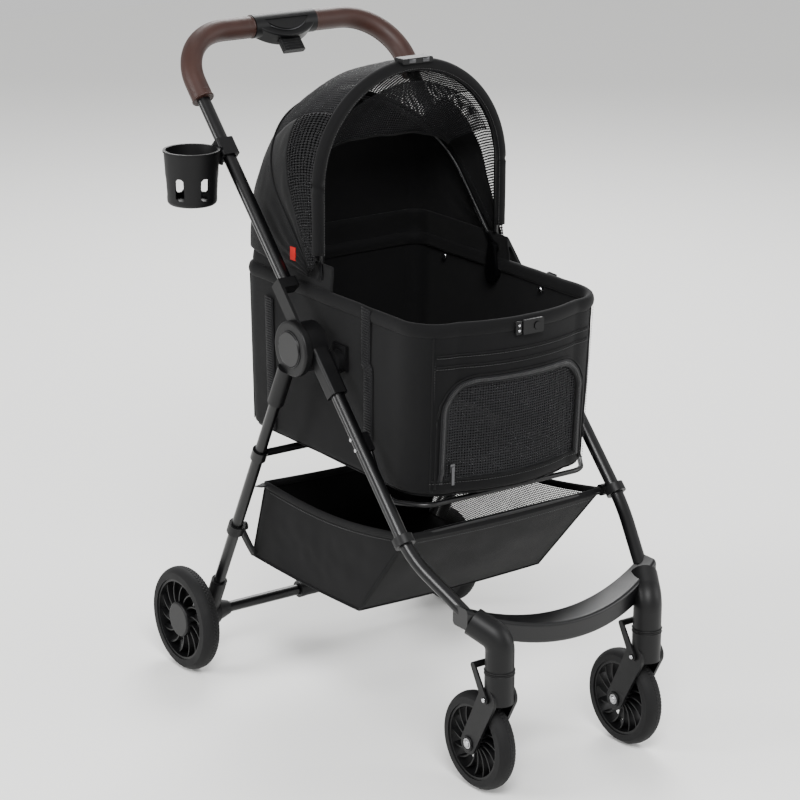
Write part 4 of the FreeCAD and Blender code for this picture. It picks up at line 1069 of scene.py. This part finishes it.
SIDE_SHARE = 0.30
SPLIT_ANGLE = 66.0
part_sheet("hood_net_top", SIDE_SHARE, 1 - SIDE_SHARE, net_low, net_high, NET, 60, 26,
           instead_of="hood_mid_cover")
for label, u0, u1 in (("left", 0.0, SIDE_SHARE), ("right", 1 - SIDE_SHARE, 1.0)):
    part_sheet("hood_gusset_" + label, u0, u1, net_low, SPLIT_ANGLE, HOOD_CLOTH, 36, 12)
    part_sheet("hood_net_" + label, u0, u1, SPLIT_ANGLE, net_high, OPEN_NET, 36, 14)
print("hood net made")

# %% [markdown]
# ## Bindings on the bows
# The front bow is wrapped in a 19 mm binding, thick enough to hide the rod; it stops above
# the hinges, where the flat steel ends show. A thin piping marks the middle bow.

# %% Bow bindings and seams
BINDING_R = 9.5
bow_inset = 6.0


def arch_path(angle, t0, t1, inset, steps=90, lift_y=0.0):
    path = []
    for k in range(steps + 1):
        x, reach = arch(lerp(t0, t1, k / steps), inset)
        a = radians(angle)
        path.append((x, PIVOT_Y + reach * cos(a) + lift_y, PIVOT_Z + reach * sin(a)))
    return path


binding_t = 22.0 / arch_length
binding_line = [(x, y + 0.6 * ripple((x, y, z), 50.0), z)
                for x, y, z in arch_path(FRONT_ANGLE, binding_t, 1 - binding_t, bow_inset)]
binding = tube("front_bow_binding", binding_line, BINDING_R, flat=1.0, sides=16)
finish(binding, HOOD_CLOTH, "hood_front")
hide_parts("hood_front_cover")
seam_line = arch_path(FRONT_ANGLE, binding_t, 1 - binding_t, bow_inset + BINDING_R - 0.6, lift_y=-4.0)
finish(tube("front_bow_seam", seam_line, 1.0, sides=6), HOOD_CLOTH, "hood_front")
mid_line = arch_path(MID_BOW_ANGLE, 0.02, 0.98, -0.6)
mid_line = [(x, soft_min(y, HOOD_BACK) + 0.6, z) for x, y, z in mid_line]
finish(tube("mid_bow_piping", mid_line, 2.0, sides=8), HOOD_CLOTH, "hood_mid")
stitch_line = [arch_path(FRONT_ANGLE, binding_t, 1 - binding_t, bow_inset + BINDING_R - 3, lift_y=-7.6)]
sew_row("front_bow_stitches", stitch_line, STITCH, STITCH_STEP, (0, -1, 0), THREAD,
        "hood_front")
print("bindings made")

# %% [markdown]
# ## The net screen under the top
# The front of the hood can be closed with a net screen. Here it hangs loose inside, under the
# top, from the front bow back towards the rear. It moves with the front bow.

# %% Loose net screen
def screen_point(u, v):
    t = lerp(0.24, 0.76, u)
    x, reach = arch(t, 16.0)
    hang = sin(pi * u)
    y = PIVOT_Y + 6 + 78 * v + 8 * ripple((x, 0, v * 60), 70.0)
    drop = (12 + 96 * v ** 1.3) * lerp(0.35, 1.0, hang) + 5 * ripple((x, v * 90, 0), 45.0, 7.0)
    return x * (1 - 0.10 * v), y, PIVOT_Z + reach - drop - 6


screen = grid("net_screen", screen_point, 64, 26)
sew(screen, (0, PIVOT_Y + 200, PIVOT_Z + 400), 0.8, NET, "hood_front")
screen_hem = [tuple(screen_point(k / 60, 1.0)) for k in range(61)]
finish(tube("net_screen_hem", screen_hem, 1.6, sides=8), HOOD_CLOTH, "hood_front")
print("screen made")

# %% [markdown]
# ## The basket
# A sewn tray hung by its front hem from a rod and by straps from the rear legs. Its upper
# hems sag between their supports and its bottom bellies a little. The near side and front
# are polyester, the rear and bottom are a darker lining, and the far side is open net.

# %% Basket panels
basket_low, basket_high = span("basket")
rod_low, rod_high = span("basket_rod")
BASKET_HALF = basket_high.x - 1.0
HEM_FRONT = Vector((0, (rod_low.y + rod_high.y) / 2 - 1, (rod_low.z + rod_high.z) / 2))
HEM_REAR = Vector((0, 180.0, 334.0))
FOOT_FRONT = Vector((0, -68.0, basket_low.z + 7))
FOOT_REAR = Vector((0, basket_high.y, basket_low.z + 3))
SIDE_SAG = 15.0
FRONT_SAG = 5.0


def basket_edge(side, w, low):
    """A point on the top (low 0) or bottom (low 1) edge; sides run near, front, far, rear."""
    half = BASKET_HALF - 8.0 * low
    front, rear = (FOOT_FRONT, FOOT_REAR) if low else (HEM_FRONT, HEM_REAR)
    sag = sin(pi * w) * (3.0 if low else SIDE_SAG if side in (0, 2) else FRONT_SAG)
    if side == 0:
        here = rear.lerp(front, w) + Vector((-half, 0, 0))
    elif side == 1:
        here = front + Vector((lerp(-half, half, w), 0, 0))
    elif side == 2:
        here = front.lerp(rear, w) + Vector((half, 0, 0))
    else:
        here = rear + Vector((lerp(half, -half, w), 0, 0))
    return here - Vector((0, 0, sag))


BASKET_OUT = (Vector((-1, 0, 0)), Vector((0, -0.75, -0.66)), Vector((1, 0, 0)), Vector((0, 1, -0.3)))


def basket_side(side):
    out = BASKET_OUT[side]

    def point(u, v):
        here = basket_edge(side, u, 0).lerp(basket_edge(side, u, 1), v)
        belly = sin(pi * u) ** 0.6 * sin(pi * v) if 0 < u < 1 and 0 < v < 1 else 0.0
        fold = 2.6 * ripple(here, 85.0, 3.0)
        fold += 1.2 * ripple((here.x + here.z, here.y, here.z * 0.4), 26.0, 8.0)
        return here + out * (belly * (2.5 + fold))
    return point


def basket_bottom(u, v):
    near, far = basket_edge(0, 1 - v, 1), basket_edge(2, v, 1)
    here = near.lerp(far, u)
    return here - Vector((0, 0, (7 + 2 * ripple(here, 60.0, 6.0)) * sin(pi * u) * sin(pi * v)))


def hang(sheet, material, slot, away_from=(0, 60, 300), instead_of=None):
    sew(sheet, away_from, 1.6, material, "front_frame",
        instead_of)


basket_parts = [("basket_near_side", BASKET_CLOTH, "basket_fabric"),
                ("basket_front", BASKET_CLOTH, "basket_fabric"),
                ("basket_far_net", OPEN_NET, "hood_mesh"),
                ("basket_rear_side", LINING, "basket_fabric")]
for side, (name, material, slot) in enumerate(basket_parts):
    hang(grid(name, basket_side(side), 54, 24), material, slot, instead_of=None if side else "basket")
hang(grid("basket_bottom", basket_bottom, 48, 40), LINING, "basket_fabric", away_from=(0, 60, 600))


def basket_loop(low):
    return [tuple(basket_edge(side, k / 30, low)) for side in range(4) for k in range(30)]


hem = tube("basket_hem", basket_loop(0), 6.0, closed=True, flat=0.55, sides=12)
finish(hem, BASKET_CLOTH, "front_frame")
corners = [[tuple(basket_edge(side, 0, 0).lerp(basket_edge(side, 0, 1), k / 20)) for k in range(21)]
           for side in range(4)]
pipes = [tube("pipe", basket_loop(1), 1.8, closed=True, sides=8)]
pipes += [tube("pipe", corner, 1.6, sides=8) for corner in corners]
finish(join("basket_piping", pipes), BASKET_CLOTH, "front_frame")
hem_line = [[tuple(basket_edge(side, k / 40, 0) + BASKET_OUT[side] * 3.0 - Vector((0, 0, 8)))
             for k in range(2, 39)] for side in (0, 1)]
sew_row("basket_stitches", hem_line, STITCH, STITCH_STEP, (-0.5, -0.8, 0), THREAD,
        "front_frame")


def strap_between(name, start, end, width, sag):
    path = [tuple(Vector(start).lerp(Vector(end), k / 12) - Vector((0, 0, sag * sin(pi * k / 12))))
            for k in range(13)]
    return ribbon(name, path, width, 1.6, None, WEBBING, (0, 0, 1))


ring_low, ring_high = span("rear_rings")
ring_y, ring_z = (ring_low.y + ring_high.y) / 2, (ring_low.z + ring_high.z) / 2
for label, side in (("left", -1), ("right", 1)):
    panel, share = (0, 0.0) if side < 0 else (2, 1.0)
    lower = basket_edge(panel, share, 1)
    strap = strap_between("basket_strap_" + label, lower - Vector((side * 2, 4, 2)),
                          (side * (ring_high.x - 22), ring_y, ring_z), 16.0, 2.0)
    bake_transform(strap)
    upper = basket_edge(panel, share, 0)
    upper_strap = strap_between("basket_upper_strap_" + label, upper, upper + Vector((side * 24, -14, 4)),
                                14.0, 1.0)
    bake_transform(upper_strap)
print("basket made")

# %% [markdown]
# ## The mat
# A quilted pad that fills the carrier's floor. Cloth under pressure swells a plain slab the
# way stuffing does; sewing lines are pressed in afterwards, because a remesh would lose them.

# %% Mat swollen by cloth simulation, then quilted
mat_low = span("carrier_mat")[0]
MAT_INSET = 9.0
MAT_CELL = 5.0
SWELL_CAP = 7.0
QUILT = 74.0


def mat_slab():
    ring = evenly(outline(MAT_INSET, mat_low.z), 120)[:-1]
    layers = [(0.94, 2.5), (1.0, 6.0), (1.0, 12.0), (0.94, 15.5)]
    verts = [(x * k, y * k, mat_low.z + h) for k, h in layers for x, y in ring]
    return face_out(mesh_object("carrier_mat_pad", verts, ring_faces(len(layers), len(ring))))


def remesh(obj, cell):
    voxel = obj.modifiers.new("cells", "REMESH")
    voxel.mode = "VOXEL"
    voxel.voxel_size = cell * MM
    return settle(obj)


def swell(obj, cap, pressure=4.0, frames=20):
    """Blow the piece up as cloth, and let no point move further than cap."""
    rest = [v.co.copy() for v in obj.data.vertices]
    cloth = obj.modifiers.new("cloth", "CLOTH")
    cloth.settings.use_pressure = True
    cloth.settings.uniform_pressure_force = pressure
    cloth.settings.effector_weights.gravity = 0.0
    cloth.point_cache.frame_start, cloth.point_cache.frame_end = 1, frames
    for frame_number in range(1, frames + 1):
        bpy.context.scene.frame_set(frame_number)
    settle(obj)
    for vertex, start in zip(obj.data.vertices, rest):
        move = vertex.co - start
        if move.length > cap * MM:
            vertex.co = start + move.normalized() * cap * MM
    return obj


mat = remesh(mat_slab(), MAT_CELL)
swell(mat, SWELL_CAP)
for vertex in mat.data.vertices:
    x, y, z = vertex.co / MM
    if z > mat_low.z + 9:
        lines = min(abs((x + QUILT / 2) % QUILT - QUILT / 2), abs((y + QUILT / 2) % QUILT - QUILT / 2))
        edge = max(abs(x) / (HALF - 20), abs(y) / (REAR_Y - 20))
        puff = 3.5 * (1 - min(lines / 30.0, 1.0)) ** 2
        vertex.co.z -= puff * MM * (1.0 if edge < 1 else 0.3)
    vertex.co.z = max(vertex.co.z, (mat_low.z + 0.5) * MM)
soft = mat.modifiers.new("soft", "SUBSURF")
soft.levels = soft.render_levels = 1
settle(smooth(mat))
mat.data.uv_layers.new(name="UVMap")
for loop in mat.data.loops:
    co = mat.data.vertices[loop.vertex_index].co
    mat.data.uv_layers[0].data[loop.index].uv = (co.x, co.y)
finish(mat, MAT_CLOTH, "carrier")
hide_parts("carrier_mat")
print("mat has", len(mat.data.polygons), "faces")

# %% [markdown]
# ## The grips' stitching
# Each leather sleeve is closed by a seam along the inside of the bend and has a turned hem at
# both ends. The seam is a ridge with a row of stitches along it.

# %% Grip hems and seams
housing_high = span("handle_housing")[1]
GRIP_R = 17.0
SLOPE = radians(46.3)
ALONG = Vector((0, cos(SLOPE), sin(SLOPE)))
ACROSS = Vector((0, -sin(SLOPE), cos(SLOPE)))
HUB = Vector(joints["handle_fold"]["pos_m"]) / MM
FOOT_ON_LINE = HUB + ACROSS * 20.0
FRAME_HALF, HANDLE_REACH, CORNER_R, GRIP_START = 200.0, 556.4, 90.0, 434.7


def on_line(distance, x, off=0.0):
    return FOOT_ON_LINE + ALONG * distance + ACROSS * off + Vector((x, 0, 0))


def grip_centre(side, share):
    """The middle of the grip, from its arm end to the housing, and the way it runs."""
    inner_end = housing_high.x + 0.5
    arm = HANDLE_REACH - CORNER_R - GRIP_START
    bar = FRAME_HALF - CORNER_R - inner_end
    bend = CORNER_R * pi / 2
    run = share * (arm + bend + bar)
    if run < arm:
        return on_line(GRIP_START + run, side * FRAME_HALF), ALONG, Vector((-side, 0, 0))
    if run < arm + bend:
        a = (run - arm) / CORNER_R
        centre = on_line(HANDLE_REACH - CORNER_R, side * (FRAME_HALF - CORNER_R))
        out = Vector((side, 0, 0)) * cos(a) + ALONG * sin(a)
        return centre + out * CORNER_R, (ALONG * cos(a) - Vector((side, 0, 0)) * sin(a)), -out
    run -= arm + bend
    return on_line(HANDLE_REACH, side * (FRAME_HALF - CORNER_R - run)), Vector((-side, 0, 0)), -ALONG


def hoop(name, side, share, radius, thick):
    centre, run, inward = grip_centre(side, share)
    third = run.cross(inward).normalized()
    points = [tuple(centre + inward * (radius * cos(a)) + third * (radius * sin(a)))
              for a in [2 * pi * k / 28 for k in range(28)]]
    return tube(name, points, thick, closed=True, sides=8)


GRIP_STITCH = seed_box("grip_stitch_seed", 3.0, 0.9, 0.8)
GRIP_STITCH_STEP = 5.0
for label, side in (("left", -1), ("right", 1)):
    hoops = [hoop("hoop", side, share, GRIP_R - 0.5, thick) for share, thick in
             ((0.006, 1.8), (0.05, 0.8), (0.95, 0.8), (0.994, 1.8))]
    finish(join("grip_hems_" + label, hoops), LEATHER, "handle")
    seam, row = [], []
    for k in range(49):
        centre, run, inward = grip_centre(side, k / 48)
        face = (inward * 0.8 - ACROSS * 0.6).normalized()
        seam.append(tuple(centre + face * (GRIP_R - 0.2)))
        row.append(tuple(centre + face * (GRIP_R + 0.5)))
    finish(tube("grip_seam_" + label, seam, 1.1, sides=6), LEATHER, "handle")
    sew_row("grip_stitches_" + label, [row], GRIP_STITCH, GRIP_STITCH_STEP, tuple(-ACROSS), THREAD,
            "handle")
print("grips stitched")

# %% [markdown]
# ## Treads
# All four tyres have rows of small studs. One stud is a low tapered block; the path tree sets
# rows of it round the tyre, and every other row is shifted by half a step.

# %% Studs round the tyres
STUD = seed_box("stud_seed", 4.6, 1.5, 3.2, 0.7)
STUD_SINK = 0.6                 # how far a stud's middle lies below the tread it stands on
ROUND_TYRE = 120


def tread(name, tyre, body, rows, step, crown_drop):
    low, high = span(tyre)
    cx, cy, cz = (low + high) / 2
    radius = (high.z - low.z) / 2
    width = high.x - low.x
    bands = []
    for row in range(rows):
        share = (row - (rows - 1) / 2) / ((rows - 1) / 2)
        x = cx + share * (width / 2 - 4.5)
        r = radius - STUD_SINK - crown_drop * share * share
        phase = (row % 2) * step / radius / 2
        angles = [phase + 2 * pi * k / ROUND_TYRE for k in range(ROUND_TYRE + 1)]
        bands.append([(x, cy + r * cos(a), cz + r * sin(a)) for a in angles])
    # a stud lies on its side: its height runs along the axle, and half its width stands proud
    studs = [repeat_along("band", [band], STUD, step, (1, 0, 0), RUBBER) for band in bands]
    return finish(join(name, studs), RUBBER, body)


for label in ("left", "right"):
    tread("rear_tread_" + label, "rear_tyre_" + label, "rear_wheel_" + label, 7, 6.0, 5.2)
    tread("front_tread_" + label, "front_tyre_" + label, "front_wheel_" + label, 7, 5.4, 5.2)
print("treads made")

# %% [markdown]
# ## Small metal and moulded details
# Rings, bolt heads and the rim of the handle's button are what the eye checks for scale. The button's rim is
# really a glossy moulded edge; it is drawn as a dark nickel tube so that it shows as a painted highlight.

# %% Handle button rim, hub rings, castor details
BUTTON_R, BUTTON_LOW, BUTTON_TOP, BUTTON_FACE = 50.2, 22.2, 1.6, 14.6
RIB_COUNT, RIB_STEP, RIB_FROM = 5, 5.0, 50.0
HUB_RING_R, WHEEL_RING_R, COLLAR_R, STEM_RING_R = 28.2, 27.6, 10.2, 22.2
TAG_LOW, TAG_HIGH = (-181.5, 92.0, 717.0), (-179.5, 106.0, 738.0)


def moon_line(radius, low, top, off, steps=28):
    """The half-moon outline of the handle's lock button, in the handle's plane."""
    centre = HANDLE_REACH - low + radius
    half_angle = sqrt(max(radius ** 2 - (radius - low + top) ** 2, 0))
    swing = atan2(half_angle, radius - low + top)
    turns = [lerp(-swing, swing, k / steps) for k in range(steps + 1)]
    return [tuple(on_line(centre - radius * cos(a), radius * sin(a), off)) for a in turns]


button_rim = moon_line(BUTTON_R, BUTTON_LOW, BUTTON_TOP, BUTTON_FACE)
# Painted highlight: the lock button's moulded edge is given dark nickel so that it reads as a bright line round
# the half-moon.
finish(tube("button_rim", button_rim, 1.1, closed=True, sides=8), SLIDER_METAL, "handle")
trigger_ribs = []
for number in range(RIB_COUNT):
    reach = HANDLE_REACH - RIB_FROM + number * RIB_STEP
    rib = [tuple(on_line(reach, x, 5.0)) for x in (-17.0, -6.0, 6.0, 17.0)]
    trigger_ribs.append(tube("rib", rib, 1.0, sides=8))
finish(join("trigger_ribs", trigger_ribs), NYLON, "fold_trigger")


def circle_x(x, y, z, radius, count=36):
    return [(x, y + radius * cos(a), z + radius * sin(a)) for a in [2 * pi * k / count for k in range(count)]]


cap_high = span("hub_caps")[1]
for label, side in (("left", -1), ("right", 1)):
    groove = tube("hub_ring_" + label, circle_x(side * (cap_high.x - 2.0), HUB.y, HUB.z, HUB_RING_R), 1.0,
                  closed=True, sides=8)
    finish(groove, SATIN_ABS, "rear_legs")
    wheel_low, wheel_high = span("wheel_cap_" + label)
    face_x = wheel_high.x if side > 0 else wheel_low.x
    mid_y, mid_z = (wheel_low.y + wheel_high.y) / 2, (wheel_low.z + wheel_high.z) / 2
    ring = tube("wheel_ring_" + label, circle_x(face_x - side * 2.4, mid_y, mid_z, WHEEL_RING_R), 1.2,
                closed=True, sides=8)
    finish(ring, WHEEL_NYLON, "rear_wheel_" + label)
    bolt_low, bolt_high = span("castor_bolt_" + label)
    axle_y, axle_z = (bolt_low.y + bolt_high.y) / 2, (bolt_low.z + bolt_high.z) / 2
    lock_low, lock_high = span("castor_lock_" + label)
    pivot_y, pivot_z = [v / MM for v in joints["castor_lock_flip_" + label]["pos_m"][1:]]
    for tag, x, way in (("in", bolt_low.x, -1), ("out", bolt_high.x, 1)):
        collar_line = circle_x(x - way * 1.2, axle_y, axle_z, COLLAR_R)
        collar = tube("bolt_collar_" + label + "_" + tag, collar_line, 1.5, closed=True, sides=8)
        finish(collar, NYLON, "castor_" + label)
        dome("bolt_head_" + label + "_" + tag, (x, axle_y, axle_z), (way, 0, 0), 5.2, 2.2, "castor_" + label,
             CHROME, sides=6)
        lock_x = lock_low.x if way < 0 else lock_high.x
        dome("lock_pin_" + label + "_" + tag, (lock_x + way * 1.0, pivot_y, pivot_z), (way, 0, 0), 3.6, 1.6,
             "castor_" + label, CHROME, sides=16)
    stem_x, stem_y = [v / MM for v in joints["castor_swivel_" + label]["pos_m"][:2]]
    joint_z = span("castor_elbows")[0].z
    for number, (z, body) in enumerate(((joint_z + 2.0, "front_frame"), (joint_z - 3.2, "castor_" + label))):
        angles = [2 * pi * k / 40 for k in range(40)]
        loop = [(stem_x + STEM_RING_R * cos(a), stem_y + STEM_RING_R * sin(a), z) for a in angles]
        seam_ring = tube("stem_ring_%s_%d" % (label, number), loop, 0.9, closed=True, sides=8)
        finish(seam_ring, NYLON, body)
latch_low, latch_high = span("carrier_latch")
plate = rounded_box("latch_plate", (latch_low.x - 12, latch_low.y + 1.0, latch_low.z + 1),
                    (latch_low.x - 1, latch_low.y + 7.0, latch_high.z - 1), 1.6)
finish(plate, NYLON, "carrier")
for tag, height in (("a", 15), ("b", 7)):
    dome("latch_screw_" + tag, (latch_low.x - 6.5, latch_low.y + 1.0, latch_low.z + height), (0, -1, 0),
         2.0, 0.8, "carrier", CHROME, sides=12)
catch_low, catch_high = span("hood_latch")
catch_mid = (catch_low + catch_high) / 2
for number, x in enumerate((catch_mid.x - 16.0, catch_mid.x + 9.0)):
    clasp = rounded_box("hood_clasp_%d" % number, (x, catch_low.y - 0.8, catch_mid.z - 3.0),
                        (x + 12.0, catch_low.y + 1.5, catch_mid.z + 3.0), 0.8)
    finish(clasp, SLIDER_METAL, "hood_front")
label_tag = rounded_box("side_label", TAG_LOW, TAG_HIGH, 0.6, 2)
finish(label_tag, RED_CLOTH, "carrier")
print("details made")

# %% [markdown]
# ## Sizes at the end
# Cloth may stand a little proud of the CAD box. Both boxes are printed side by side.


visual_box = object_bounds()
for name, box in (("cad", cad_box), ("visual", visual_box)):
    print(name, [[round(v, 3) for v in corner] for corner in box])
